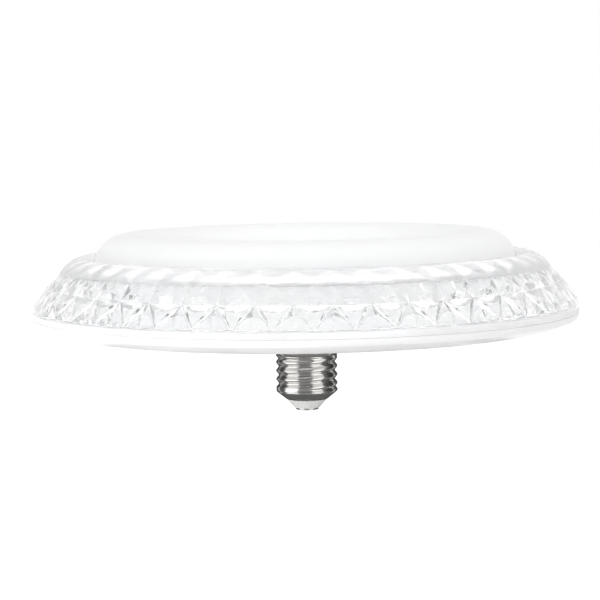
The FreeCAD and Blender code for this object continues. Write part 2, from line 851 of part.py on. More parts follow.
def electrolytic_capacitor():
    radius = electrolytic_radius
    length = electrolytic_length
    can = turned(
        (0.0, 0.0),
        [
            (radius - 0.5, 0.0),
            (on_arc((radius - 0.5, 0.5), 0.5, -45), (radius, 0.5)),
            (radius, 1.9),
            ((radius - 0.45, 2.5), (radius, 3.1)),
            (radius, length - 0.5),
            (on_arc((radius - 0.5, length - 0.5), 0.5, 45), (radius - 0.5, length)),
            (0.0, length),
        ],
    )
    can.rotate(origin, FreeCAD.Vector(0, 1, 0), -90)
    x, y = electrolytic_place
    can.translate(FreeCAD.Vector(x + length / 2, y, driver_top + radius))
    return can


# Film capacitor, a moulded box with rounded upright edges on two legs
film_length = 10.0
film_width = 5.0
film_height = 6.4
film_place = (-14.0, -9.0)


def film_capacitor():
    x, y = film_place
    body = block(film_length, film_width, film_height, x, y, driver_top + 0.3)
    upright = [edge for edge in body.Edges if abs(edge.tangentAt(edge.FirstParameter).z) > 0.99]
    body = body.makeFillet(0.8, upright)
    feet = legs([(x - film_length / 3, y), (x + film_length / 3, y)], driver_top + 0.8)
    return body.fuse(feet)


# Inductor: a ferrite drum and the copper wound between its flanges
drum_radius = 4.0
drum_waist_radius = 1.9
drum_flange = 1.1
drum_height = 7.0
drum_place = (3.0, 9.5)
winding_gap = 0.1


def inductor_core():
    low = driver_top
    high = driver_top + drum_height
    drum = turned(
        (0.0, low),
        [
            (drum_radius, low),
            (drum_radius, low + drum_flange),
            (drum_waist_radius, low + drum_flange),
            (drum_waist_radius, high - drum_flange),
            (drum_radius, high - drum_flange),
            (drum_radius, high),
            (0.0, high),
        ],
    )
    return drum.translated(FreeCAD.Vector(drum_place[0], drum_place[1], 0))


# Winding, its outside rounded over each layer's turns
winding_turns = 8


def inductor_winding():
    inner = drum_waist_radius + winding_gap
    outer = drum_radius - 0.5
    low = driver_top + drum_flange + winding_gap
    turn = (drum_height - 2 * drum_flange - 2 * winding_gap) / winding_turns
    steps = [(outer, low)]
    for index in range(winding_turns):
        bottom = low + turn * index
        steps.append(((outer + turn / 2, bottom + turn / 2), (outer, bottom + turn)))
    steps.append((inner, low + turn * winding_turns))
    winding = turned((inner, low), steps)
    return winding.translated(FreeCAD.Vector(drum_place[0], drum_place[1], 0))


# Flat chip package with bent legs along its two long sides
def chip_package(length, width, height, legs_per_side, leg_width, place):
    x, y = place
    body = block(length, width, height, x, y, driver_top + 0.15)
    top_edges = [edge for edge in body.Edges if edge.BoundBox.ZMin > driver_top + height]
    body = body.makeChamfer(height * 0.12, top_edges)
    pieces = []
    for side in (-1, 1):
        for index in range(legs_per_side):
            leg_x = x + (index - (legs_per_side - 1) / 2) * length / legs_per_side
            near = side * (width / 2 - 0.2)
            far = side * (width / 2 + 0.9)
            path = [
                (near, driver_top + height * 0.6),
                (far - side * 0.5, driver_top + height * 0.6),
                (far - side * 0.5, driver_top + 0.2),
                (far, driver_top + 0.2),
                (far, driver_top),
                (far - side * 0.7, driver_top),
                (far - side * 0.7, driver_top + height * 0.6 - 0.2),
                (near, driver_top + height * 0.6 - 0.2),
            ]
            points = [FreeCAD.Vector(leg_x - leg_width / 2, y + across, z) for across, z in path]
            strip = Part.Face(Part.makePolygon(points + points[:1]))
            pieces.append(strip.extrude(FreeCAD.Vector(leg_width, 0, 0)))
    return body.fuse(pieces)


bridge_length = 5.0
bridge_width = 4.0
bridge_height = 1.6
bridge_leg_width = 0.7
bridge_place = (-2.0, -10.5)


def bridge_rectifier():
    return chip_package(bridge_length, bridge_width, bridge_height, 2, bridge_leg_width, bridge_place)


ic_length = 4.9
ic_width = 3.9
ic_height = 1.5
ic_leg_width = 0.42
ic_place = (7.5, -9.0)


def driver_ic():
    return chip_package(ic_length, ic_width, ic_height, 4, ic_leg_width, ic_place)


# Fuse resistor lying on the board, with its end caps and bent leads
fuse_radius = 1.6
fuse_length = 7.5
fuse_place = (16.5, -3.0)


def fuse_resistor():
    body = turned(
        (0.0, 0.0),
        [
            (fuse_radius, 0.0),
            (fuse_radius, 1.2),
            (fuse_radius - 0.25, 1.6),
            (fuse_radius - 0.25, fuse_length - 1.6),
            (fuse_radius, fuse_length - 1.2),
            (fuse_radius, fuse_length),
            (0.0, fuse_length),
        ],
    )
    body.rotate(origin, FreeCAD.Vector(0, 1, 0), -90)
    x, y = fuse_place
    high = driver_top + fuse_radius + 0.2
    body.translate(FreeCAD.Vector(x + fuse_length / 2, y, high))
    lead_end = fuse_length / 2 + 1.6
    leads = []
    for side in (-1, 1):
        start = (x + side * (fuse_length / 2 - 0.3), y, high)
        leads.append(bent_wire([start, (x + side * lead_end, y, high), (x + side * lead_end, y, driver_top)],
                               lead_radius))
    return body.fuse(leads)


# Varistor, a coated disc standing on two legs
varistor_radius = 3.3
varistor_thickness = 2.6
varistor_place = (-20.5, -1.5)


def varistor():
    half = varistor_thickness / 2
    x, y = varistor_place
    disc = turned(
        (0.0, -half),
        [
            (varistor_radius - half, -half),
            ((varistor_radius, 0.0), (varistor_radius - half, half)),
            (0.0, half),
        ],
    )
    disc.rotate(origin, FreeCAD.Vector(0, 1, 0), 90)
    high = driver_top + varistor_radius + 0.8
    disc.translate(FreeCAD.Vector(x, y, high))
    feet = legs([(x, y - varistor_radius / 2), (x, y + varistor_radius / 2)], high)
    return disc.fuse(feet)


# Two-way wire terminal on the LED board, with a funnel for each wire
terminal_length = 8.0
terminal_width = 7.0
terminal_height = 4.6
terminal_place = (13.5, 0.0)
terminal_pitch = 4.0
terminal_wire_height = 2.3
terminal_funnel_radius = 1.4
terminal_funnel_depth = 1.2
terminal_back_wall = 1.5
terminal_button_side = 1.6
terminal_button_depth = 0.8
terminal_button_shift = 1.4


def terminal_wire_y(side):
    return terminal_place[1] + side * terminal_pitch / 2


def wire_terminal():
    x, y = terminal_place
    body = block(terminal_width, terminal_length, terminal_height, x, y, board_top)
    cut = []
    for side in (-1, 1):
        wire_y = terminal_wire_y(side)
        mouth = FreeCAD.Vector(x - terminal_width / 2, wire_y, board_top + terminal_wire_height)
        inward = FreeCAD.Vector(1, 0, 0)
        button_floor = board_top + terminal_height - terminal_button_depth
        cut += [
            Part.makeCone(terminal_funnel_radius, wire_hole_radius, terminal_funnel_depth, mouth, inward),
            Part.makeCylinder(wire_hole_radius, terminal_width - terminal_back_wall, mouth, inward),
            block(terminal_button_side, terminal_button_side, 1.0, x + terminal_button_shift, wire_y, button_floor),
        ]
    return body.cut(cut)


# Wires: phase from the centre contact, neutral from the shell, and two from the driver to the terminal
def phase_wire():
    x, y = phase_hole
    return bent_wire(
        [(0.0, 0.0, contact_stem_height), (0.0, 0.0, contact_stem_height + 8.0),
         (x, y, driver_seat - 8.0), (x, y, driver_top + 0.8)],
        wire_radius,
    )


def neutral_wire():
    x, y = neutral_hole
    shell_touch = thread_bore_radius - 0.3
    inside = neck_bore_radius - wire_radius - 0.6
    low = plug_bottom - wire_radius - 0.5
    return bent_wire(
        [(shell_touch, 0.0, low), (inside, 0.0, low), (inside, 0.0, low + 9.0),
         (x, y, driver_seat - 6.0), (x, y, driver_top + 0.8)],
        wire_radius,
    )


def supply_wire(hole, side):
    x, y = hole
    low = board_bottom - 3.6
    high = board_top + terminal_wire_height
    wire_y = terminal_wire_y(side)
    inside = terminal_place[0] - terminal_width / 2 + 3.0
    return bent_wire(
        [(x, y, driver_seat + 0.1), (x, y, low), (-2.4, wire_y, low), (-2.4, wire_y, high), (inside, wire_y, high)],
        wire_radius,
    )


def main():
    nodes = {
        "cap_shell": cap_shell(),
        "cap_insulator": cap_insulator(),
        "centre_contact": centre_contact(),
        "back_pan": back_pan(),
        "crystal_ring": crystal_ring(),
        "opal_cover": opal_cover(),
        "led_board": led_board(),
        "led_chips": led_chips(),
        "board_screws": board_screws(),
        "wire_terminal": wire_terminal(),
        "driver_board": driver_board(),
        "driver_screws": driver_screws(),
        "electrolytic_capacitor": electrolytic_capacitor(),
        "film_capacitor": film_capacitor(),
        "inductor_core": inductor_core(),
        "inductor_winding": inductor_winding(),
        "bridge_rectifier": bridge_rectifier(),
        "driver_ic": driver_ic(),
        "fuse_resistor": fuse_resistor(),
        "varistor": varistor(),
        "phase_wire": phase_wire(),
        "neutral_wire": neutral_wire(),
        "positive_wire": supply_wire(positive_hole, 1),
        "negative_wire": supply_wire(negative_hole, -1),
    }
    os.makedirs("parts", exist_ok=True)
    for name, shape in nodes.items():
        shape.exportStep(os.path.join("parts", name + ".step"))
        size = shape.BoundBox
        print(name, len(shape.Solids), shape.isValid(), round(shape.Volume, 1),
              round(size.ZMin, 2), round(size.ZMax, 2))


main()
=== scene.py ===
import math

import bpy
from mathutils import Matrix, Vector


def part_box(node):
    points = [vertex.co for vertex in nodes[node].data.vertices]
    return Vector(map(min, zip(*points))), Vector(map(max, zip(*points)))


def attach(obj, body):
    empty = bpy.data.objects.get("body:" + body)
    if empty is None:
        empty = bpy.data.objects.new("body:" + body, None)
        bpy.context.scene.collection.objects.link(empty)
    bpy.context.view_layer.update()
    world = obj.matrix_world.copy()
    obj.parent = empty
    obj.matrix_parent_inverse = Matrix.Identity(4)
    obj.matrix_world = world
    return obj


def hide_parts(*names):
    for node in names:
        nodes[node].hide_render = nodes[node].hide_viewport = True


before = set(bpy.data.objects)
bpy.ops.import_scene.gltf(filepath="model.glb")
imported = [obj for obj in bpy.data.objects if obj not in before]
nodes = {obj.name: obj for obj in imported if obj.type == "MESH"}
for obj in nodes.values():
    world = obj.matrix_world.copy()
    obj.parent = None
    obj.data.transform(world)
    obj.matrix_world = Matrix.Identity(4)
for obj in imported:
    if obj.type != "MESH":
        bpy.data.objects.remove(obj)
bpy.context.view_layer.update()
scene = bpy.context.scene
mm = 0.001
# points closer than mergeGap are one, and heights closer than tiny count as the same
mergeGap = 0.002 * mm
tiny = 0.01 * mm
print("frame loaded:", len(nodes), "nodes")


# camera, as fitted to the lamp's outline: metres, degrees and pixels of the 600 x 600 picture
cameraView = {
    "place": (-0.00242, -0.800, 0.1158),
    "tiltDown": 4.94,
    "roll": 0.878,
    "focalPixels": 1890.85,
    "framePixels": 600,
    "sensor": 36.0,
    "clipEnd": 50.0,
}


def makeCamera():
    tilt = math.radians(cameraView["tiltDown"])
    roll = math.radians(cameraView["roll"])
    right = Vector((1, 0, 0))
    up = Vector((0, math.sin(tilt), math.cos(tilt)))
    forward = Vector((0, math.cos(tilt), -math.sin(tilt)))
    rolledRight = right * math.cos(roll) - up * math.sin(roll)
    rolledUp = right * math.sin(roll) + up * math.cos(roll)
    data = bpy.data.cameras.new("lampCamera")
    data.sensor_width = cameraView["sensor"]
    data.lens = cameraView["sensor"] * cameraView["focalPixels"] / cameraView["framePixels"]
    data.clip_end = cameraView["clipEnd"]
    camera = bpy.data.objects.new("lampCamera", data)
    scene.collection.objects.link(camera)
    turn = Matrix((rolledRight, rolledUp, -forward)).transposed()
    camera.matrix_world = Matrix.Translation(cameraView["place"]) @ turn.to_4x4()
    scene.camera = camera


makeCamera()


# mesh helpers
def pickOnly(piece):
    bpy.ops.object.select_all(action="DESELECT")
    bpy.context.view_layer.objects.active = piece
    piece.select_set(True)


def editAll(action="SELECT"):
    bpy.ops.object.mode_set(mode="EDIT")
    bpy.ops.mesh.select_all(action=action)


def endEdit():
    bpy.ops.object.mode_set(mode="OBJECT")


def clearSelection():
    editAll("DESELECT")
    endEdit()


def mergePoints(piece):
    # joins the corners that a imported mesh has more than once
    pickOnly(piece)
    editAll()
    bpy.ops.mesh.remove_doubles(threshold=mergeGap)
    endEdit()


def applyPlace(name):
    # names the new primitive and leaves it at the origin, unturned and unscaled
    piece = bpy.context.object
    piece.name = name
    bpy.ops.object.transform_apply(location=True, rotation=True, scale=True)
    return piece


# node helpers: a value is a number, a colour or another node's socket
def newMaterial(name):
    material = bpy.data.materials.new(name)
    material.use_nodes = True
    material.node_tree.nodes.clear()
    return material, material.node_tree


def addNode(tree, kind, place=(0, 0), **settings):
    node = tree.nodes.new(kind)
    node.location = place
    for key, value in settings.items():
        if key in node.inputs:
            feed(tree, node.inputs[key], value)
        else:
            setattr(node, key, value)
    return node


def link(tree, output, target):
    tree.links.new(output, target)


def feed(tree, socket, value):
    if isinstance(value, bpy.types.NodeSocket):
        link(tree, value, socket)
    else:
        socket.default_value = value


def mathNode(tree, operation, first, second=None, place=(0, 0)):
    node = addNode(tree, "ShaderNodeMath", place, operation=operation)
    feed(tree, node.inputs[0], first)
    if second is not None:
        feed(tree, node.inputs[1], second)
    return node.outputs[0]


def rangeNode(tree, value, start, end, place=(0, 0), source=(0.0, 1.0)):
    node = addNode(tree, "ShaderNodeMapRange", place)
    feed(tree, node.inputs["Value"], value)
    for title, number in zip(("From Min", "From Max", "To Min", "To Max"), (*source, start, end)):
        feed(tree, node.inputs[title], number)
    return node.outputs["Result"]


def mixNode(tree, mask, first, second, place=(0, 0)):
    node = addNode(tree, "ShaderNodeMix", place, data_type="RGBA")
    feed(tree, node.inputs[0], mask)
    feed(tree, node.inputs[6], first)
    feed(tree, node.inputs[7], second)
    return node.outputs[2]


def noiseNode(tree, where, scale, detail, place=(0, 0)):
    return addNode(tree, "ShaderNodeTexNoise", place, Vector=where, Scale=scale, Detail=detail).outputs[0]


def splitNode(tree, vector, place):
    return addNode(tree, "ShaderNodeSeparateXYZ", place, Vector=vector).outputs


def useGroup(tree, group, place, values):
    node = addNode(tree, "ShaderNodeGroup", place)
    node.node_tree = group
    for title, value in values.items():
        feed(tree, node.inputs[title], value)
    return node.outputs


def lookMask(tree):
    # 1 for camera, glossy and transmission rays
    path = addNode(tree, "ShaderNodeLightPath", (-900, 0)).outputs
    first = mathNode(tree, "MAXIMUM", path["Is Camera Ray"], path["Is Glossy Ray"], (-700, 0))
    return mathNode(tree, "MAXIMUM", first, path["Is Transmission Ray"], (-500, 0))


def endSurface(tree, shader, place=(400, 0)):
    output = addNode(tree, "ShaderNodeOutputMaterial", place)
    link(tree, shader.outputs[0], output.inputs["Surface"])


# floor: pale and plain, white to the camera and in reflections, with the lamp's shadow kept
floorValues = {
    "height": -0.30,
    "size": 12.0,
    "cells": 24,
    "colour": (0.86, 0.86, 0.86, 1),
    "seenGlow": 0.56,
}


def makeFloor():
    values = floorValues
    bpy.ops.object.select_all(action="DESELECT")
    bpy.ops.mesh.primitive_grid_add(
        x_subdivisions=values["cells"], y_subdivisions=values["cells"],
        size=values["size"], location=(0, 0, values["height"]),
    )
    floor = applyPlace("studioFloor")
    material, tree = newMaterial("studioFloorPaint")
    strength = mathNode(tree, "MULTIPLY", lookMask(tree), values["seenGlow"], (-300, 0))
    diffuse = addNode(tree, "ShaderNodeBsdfDiffuse", (-100, 150), Color=values["colour"])
    glow = addNode(tree, "ShaderNodeEmission", (-100, -50), Strength=strength)
    both = addNode(tree, "ShaderNodeAddShader", (100, 0))
    link(tree, diffuse.outputs[0], both.inputs[0])
    link(tree, glow.outputs[0], both.inputs[1])
    endSurface(tree, both)
    floor.data.materials.append(material)


makeFloor()


# reflector tent: a small can round the cap under the pan, seen only in reflections, with bright and dark strips
# each strip is where it starts, in degrees to the right of the camera, and its level
drumValues = {
    "radius": 0.090,
    "low": -0.060,
    "high": 0.0285,
    "sides": 96,
    "inset": 0.050,
    "floorLevel": 0.42,
    "lidShare": 0.55,
    "strips": (
        (-180, 0.10), (-131, 0.8), (-123, 0.12), (-84, 1.7), (-33, 0.33), (19, 1.65),
        (60, 0.14), (84, 0.08), (116, 1.1), (124, 0.10),
    ),
    "softDegrees": 3.0,
}


def stripRamp(tree, turn):
    # the strips as a ramp over one turn, with a short blend where one starts
    soft = drumValues["softDegrees"] / 2 / 360
    level = drumValues["strips"][0][1]
    stops = [(0.0, level)]
    for start, nextLevel in drumValues["strips"][1:]:
        position = (start + 180) / 360
        stops += [(position - soft, level), (position + soft, nextLevel)]
        level = nextLevel
    ramp = addNode(tree, "ShaderNodeValToRGB", (-450, 0), Fac=turn)
    elements = ramp.color_ramp.elements
    while len(elements) < len(stops):
        elements.new(0.5)
    for element, (position, value) in zip(elements, stops):
        element.position = position
        element.color = (value, value, value, 1)
    return ramp.outputs["Color"]


def drumMaterial():
    values = drumValues
    material, tree = newMaterial("reflectorPaint")
    parts = splitNode(tree, addNode(tree, "ShaderNodeTexCoord", (-1300, 0)).outputs["Object"], (-1100, 0))
    # azimuth to the right of the camera, which looks along +Y
    toFront = mathNode(tree, "MULTIPLY", parts["Y"], -1.0, (-950, -150))
    azimuth = mathNode(tree, "ARCTAN2", parts["X"], toFront, (-800, 0))
    strips = stripRamp(tree, rangeNode(tree, azimuth, 0.0, 1.0, (-650, 0), (-math.pi, math.pi)))
    # the lid keeps the strips at a share of their level, and the floor is plain
    geometry = addNode(tree, "ShaderNodeNewGeometry", (-650, -300)).outputs
    upright = splitNode(tree, geometry["Normal"], (-450, -300))["Z"]
    flat = mathNode(tree, "ABSOLUTE", upright, None, (-250, -300))
    strength = rangeNode(tree, flat, 1.0, values["lidShare"], (-100, -300))
    low = mathNode(tree, "LESS_THAN", parts["Z"], values["low"] + 1 * mm, (-250, -500))
    tone = mixNode(tree, low, strips, (values["floorLevel"],) * 3 + (1,))
    glow = addNode(tree, "ShaderNodeEmission", (100, 0), Color=tone, Strength=strength)
    # only its inside reflects
    clear = addNode(tree, "ShaderNodeBsdfTransparent", (100, 150))
    oneSided = addNode(tree, "ShaderNodeMixShader", (250, 0), Fac=geometry["Backfacing"])
    link(tree, clear.outputs[0], oneSided.inputs[1])
    link(tree, glow.outputs[0], oneSided.inputs[2])
    endSurface(tree, oneSided)
    return material


def makeDrum():
    values = drumValues
    bpy.ops.object.select_all(action="DESELECT")
    bpy.ops.mesh.primitive_cylinder_add(
        vertices=values["sides"], radius=values["radius"], depth=values["high"] - values["low"],
        location=(0, 0, (values["high"] + values["low"]) / 2), end_fill_type="NGON",
    )
    drum = applyPlace("reflectorDrum")
    clearSelection()
    for face in drum.data.polygons:
        face.select = abs(face.normal.z) > 0.9
    bpy.ops.object.mode_set(mode="EDIT")
    bpy.ops.mesh.inset(thickness=values["inset"])
    endEdit()
    drum.data.materials.append(drumMaterial())
    drum.visible_camera = False
    drum.visible_diffuse = False
    drum.visible_transmission = False
    drum.visible_shadow = False


makeDrum()


# studio light: a soft world, a key from the left, weaker lamps from the right, above and below,
# and a wide one above that only the crystal shows
worldValues = {"seen": 1.0, "light": 0.66}
lampValues = (
    {"name": "keyLeft", "place": (-1.3, -1.5, 0.8), "size": 1.4, "power": 15.2},
    {"name": "fillRight", "place": (1.35, -1.4, 0.55), "size": 0.8, "power": 6.0},
    {"name": "topSoft", "place": (0.9, -0.2, 1.6), "size": 1.6, "power": 7.0},
    {"name": "underSoft", "place": (-0.18, -0.12, -0.28), "size": 0.9, "power": 2.25},
    {"name": "crystalTop", "place": (0.0, 0.0, 1.5), "size": 4.0, "power": 47.0, "crystalOnly": True},
)
lampAim = (0, 0, 0.05)
bounceValues = {"max_bounces": 28, "transmission_bounces": 20, "glossy_bounces": 8, "diffuse_bounces": 12}


def makeWorld():
    world = bpy.data.worlds.new("studioWorld")
    scene.world = world
    world.use_nodes = True
    tree = world.node_tree
    tree.nodes.clear()
    level = rangeNode(tree, lookMask(tree), worldValues["light"], worldValues["seen"], (-300, 0))
    background = addNode(tree, "ShaderNodeBackground", (-100, 0), Color=(1, 1, 1, 1), Strength=level)
    output = addNode(tree, "ShaderNodeOutputWorld", (100, 0))
    link(tree, background.outputs[0], output.inputs["Surface"])


def makeLamps():
    for values in lampValues:
        data = bpy.data.lights.new(values["name"], "AREA")
        data.shape = "SQUARE"
        data.size = values["size"]
        data.energy = values["power"]
        lamp = bpy.data.objects.new(values["name"], data)
        scene.collection.objects.link(lamp)
        lamp.visible_glossy = False
        lamp.visible_camera = False
        lamp.visible_diffuse = not values.get("crystalOnly", False)
        place = Vector(values["place"])
        turn = (Vector(lampAim) - place).to_track_quat("-Z", "Y")
        lamp.matrix_world = Matrix.Translation(place) @ turn.to_matrix().to_4x4()


makeWorld()
makeLamps()
scene.view_settings.view_transform = "Standard"
for title, number in bounceValues.items():
    setattr(scene.cycles, title, number)
print("camera, floor and light ready")


# shared effects: each is a shader node group, built once and placed in every material that uses it
# shares of an effect's own scale, and the part of a noise's range that an effect spreads over 0 to 1
effectValues = {
    "grainScale": 4.7,
    "grainShare": 0.35,
    "patchScale": 0.09,
    "patchRange": (0.3, 0.7),
    "driftRange": (0.35, 0.65),
    "markRange": (0.52, 0.62),
    "markPatchScale": 0.22,
    "markPatchRange": (0.45, 0.7),
}


def newGroup(name, inputs, outputs):
    group = bpy.data.node_groups.new(name, "ShaderNodeTree")
    for title, kind, value in inputs:
        socket = group.interface.new_socket(title, in_out="INPUT", socket_type=kind)
        if value is not None:
            socket.default_value = value
    for title, kind in outputs:
        group.interface.new_socket(title, in_out="OUTPUT", socket_type=kind)
    start = addNode(group, "NodeGroupInput", (-1500, 0))
    end = addNode(group, "NodeGroupOutput", (700, 0))
    return group, start.outputs, end.inputs


def makeMouldedSkin():
    # the faint orange peel of a moulded or painted surface, and slow patches of more and less gloss
    group, inside, out = newGroup(
        "mouldedSkin",
        [("Place", "NodeSocketVector", None), ("Scale", "NodeSocketFloat", 400.0)],
        [("Height", "NodeSocketFloat"), ("Patches", "NodeSocketFloat")],
    )
    peel = noiseNode(group, inside["Place"], inside["Scale"], 2.0, (-900, 200))
    grainScale = mathNode(group, "MULTIPLY", inside["Scale"], effectValues["grainScale"], (-1150, -50))
    grain = noiseNode(group, inside["Place"], grainScale, 1.0, (-900, -50))
    fineGrain = mathNode(group, "MULTIPLY", grain, effectValues["grainShare"], (-650, -50))
    height = mathNode(group, "ADD", peel, fineGrain, (-400, 150))
    patchScale = mathNode(group, "MULTIPLY", inside["Scale"], effectValues["patchScale"], (-1150, -350))
    patches = noiseNode(group, inside["Place"], patchScale, 3.0, (-900, -350))
    level = rangeNode(group, patches, 0.0, 1.0, (-400, -350), effectValues["patchRange"])
    link(group, height, out["Height"])
    link(group, level, out["Patches"])
    return group


def makeToneDrift():
    # two close tones that drift into each other, so that no surface is one flat colour
    group, inside, out = newGroup(
        "toneDrift",
        [
            ("Place", "NodeSocketVector", None), ("Scale", "NodeSocketFloat", 20.0),
            ("First", "NodeSocketColor", None), ("Second", "NodeSocketColor", None),
        ],
        [("Color", "NodeSocketColor")],
    )
    drift = noiseNode(group, inside["Place"], inside["Scale"], 4.0, (-900, 0))
    share = rangeNode(group, drift, 0.0, 1.0, (-600, 0), effectValues["driftRange"])
    link(group, mixNode(group, share, inside["First"], inside["Second"], (-200, 0)), out["Color"])
    return group


def makeSpanMask():
    # 1 between two limits of a height or radius, with soft ends
    group, inside, out = newGroup(
        "spanMask",
        [
            ("Value", "NodeSocketFloat", 0.0), ("Low", "NodeSocketFloat", 0.0),
            ("High", "NodeSocketFloat", 1.0), ("Soft", "NodeSocketFloat", 0.1 * mm),
        ],
        [("Mask", "NodeSocketFloat")],
    )
    above = mathNode(group, "SUBTRACT", inside["Value"], inside["Low"], (-900, 150))
    below = mathNode(group, "SUBTRACT", inside["High"], inside["Value"], (-900, -150))
    nearer = mathNode(group, "MINIMUM", above, below, (-650, 0))
    share = mathNode(group, "DIVIDE", nearer, inside["Soft"], (-400, 0))
    link(group, rangeNode(group, share, 0.0, 1.0, (-150, 0)), out["Mask"])
    return group


def makeAxisPlace():
    # radius from the lamp's axis, height along it, and a place stretched round it for turned and rolled marks
    group, inside, out = newGroup(
        "axisPlace",
        [("Place", "NodeSocketVector", None), ("Stretch", "NodeSocketFloat", 0.04)],
        [("Radius", "NodeSocketFloat"), ("Height", "NodeSocketFloat"), ("Rolled", "NodeSocketVector")],
    )
    parts = splitNode(group, inside["Place"], (-1200, 0))
    xSquare = mathNode(group, "MULTIPLY", parts["X"], parts["X"], (-950, 200))
    ySquare = mathNode(group, "MULTIPLY", parts["Y"], parts["Y"], (-950, 0))
    radius = mathNode(group, "SQRT", mathNode(group, "ADD", xSquare, ySquare, (-750, 100)), None, (-550, 100))
    slowX = mathNode(group, "MULTIPLY", parts["X"], inside["Stretch"], (-750, -150))
    slowY = mathNode(group, "MULTIPLY", parts["Y"], inside["Stretch"], (-750, -320))
    across = mathNode(group, "ADD", parts["Z"], radius, (-350, -50))
    rolled = addNode(group, "ShaderNodeCombineXYZ", (-100, -200), X=slowX, Y=slowY, Z=across)
    link(group, radius, out["Radius"])
    link(group, parts["Z"], out["Height"])
    link(group, rolled.outputs[0], out["Rolled"])
    return group


def makeFineMarks():
    # hair scratches and rub marks in scattered patches
    group, inside, out = newGroup(
        "fineMarks",
        [
            ("Place", "NodeSocketVector", None), ("Scale", "NodeSocketFloat", 300.0),
            ("Amount", "NodeSocketFloat", 0.5),
        ],
        [("Mask", "NodeSocketFloat")],
    )
    lines = noiseNode(group, inside["Place"], inside["Scale"], 5.0, (-900, 150))
    thin = rangeNode(group, lines, 0.0, 1.0, (-600, 150), effectValues["markRange"])
    patchScale = mathNode(group, "MULTIPLY", inside["Scale"], effectValues["markPatchScale"], (-1150, -150))
    patches = noiseNode(group, inside["Place"], patchScale, 2.0, (-900, -150))
    spread = rangeNode(group, patches, 0.0, 1.0, (-600, -150), effectValues["markPatchRange"])
    marks = mathNode(group, "MULTIPLY", thin, spread, (-350, 0))
    link(group, mathNode(group, "MULTIPLY", marks, inside["Amount"], (-100, 0)), out["Mask"])
    return group


mouldedSkin = makeMouldedSkin()
toneDrift = makeToneDrift()
spanMask = makeSpanMask()
axisPlace = makeAxisPlace()
fineMarks = makeFineMarks()
print("shared effects ready:", len(bpy.data.node_groups))


# a material's start: its shader, the place on the piece, drifting tones, skin and gloss
def startFinish(name, values):
    material, tree = newMaterial(name)
    shader = addNode(tree, "ShaderNodeBsdfPrincipled", (500, 0))
    endSurface(tree, shader, (900, 0))
    where = addNode(tree, "ShaderNodeTexCoord", (-1400, 0)).outputs["Object"]
    tone = useGroup(tree, toneDrift, (-900, 300), {
        "Place": where, "Scale": values["driftScale"], "First": values["tone"], "Second": values["secondTone"],
    })
    skin = useGroup(tree, mouldedSkin, (-900, -200), {"Place": where, "Scale": values["grainScale"]})
    gloss = rangeNode(tree, skin["Patches"], *values["roughness"], (-300, -50))
    for title, number in values.get("shader", {}).items():
        shader.inputs[title].default_value = number
    return {
        "material": material, "tree": tree, "shader": shader, "where": where,
        "tone": tone["Color"], "gloss": gloss, "height": skin["Height"],
    }


def endFinish(work, values):
    tree, shader = work["tree"], work["shader"]
    bump = addNode(tree, "ShaderNodeBump", (200, -300), Distance=values["grainDepth"], Height=work["height"])
    link(tree, bump.outputs[0], shader.inputs["Normal"])
    link(tree, work["tone"], shader.inputs["Base Color"])
    link(tree, work["gloss"], shader.inputs["Roughness"])
    return work["material"]


def axisOf(work):
    return useGroup(work["tree"], axisPlace, (-1150, -500), {"Place": work["where"]})


def spanOf(work, value, limits, soft=0.08 * mm):
    low, high = limits
    values = {"Value": value, "Low": low, "High": high, "Soft": soft}
    return useGroup(work["tree"], spanMask, (-900, -600), values)["Mask"]


def toneIn(work, mask, tone, place=(100, 350)):
    work["tone"] = mixNode(work["tree"], mask, work["tone"], tone, place)


def glossIn(work, mask, roughness, place=(100, -50)):
    work["gloss"] = rangeNode(work["tree"], mask, work["gloss"], roughness, place)


def raiseBy(work, mask, share, place=(-450, -500)):
    # adds a share of a pattern to the height that the bump uses
    tree = work["tree"]
    part = mathNode(tree, "MULTIPLY", mask, share, place)
    work["height"] = mathNode(tree, "ADD", work["height"], part, (place[0] + 250, place[1] + 100))


def addMarks(work, marks, where=None):
    # rub marks change the tone and the gloss where they are
    scale, amount, tone, roughness = marks
    values = {"Place": where or work["where"], "Scale": scale, "Amount": amount}
    mask = useGroup(work["tree"], fineMarks, (-900, -800), values)["Mask"]
    toneIn(work, mask, tone, (-100, 300))
    glossIn(work, mask, roughness, (0, -50))


def turnedRings(work, perMetre):
    # fine rings round the axis, as a mould or a lathe leaves them
    tree = work["tree"]
    phase = mathNode(tree, "MULTIPLY", axisOf(work)["Radius"], perMetre, (-700, -500))
    return mathNode(tree, "SINE", phase, None, (-500, -500))


def dress(node, material):
    slots = nodes[node].material_slots
    if not slots:
        nodes[node].data.materials.append(material)
        return
    for slot in slots:
        slot.material = material


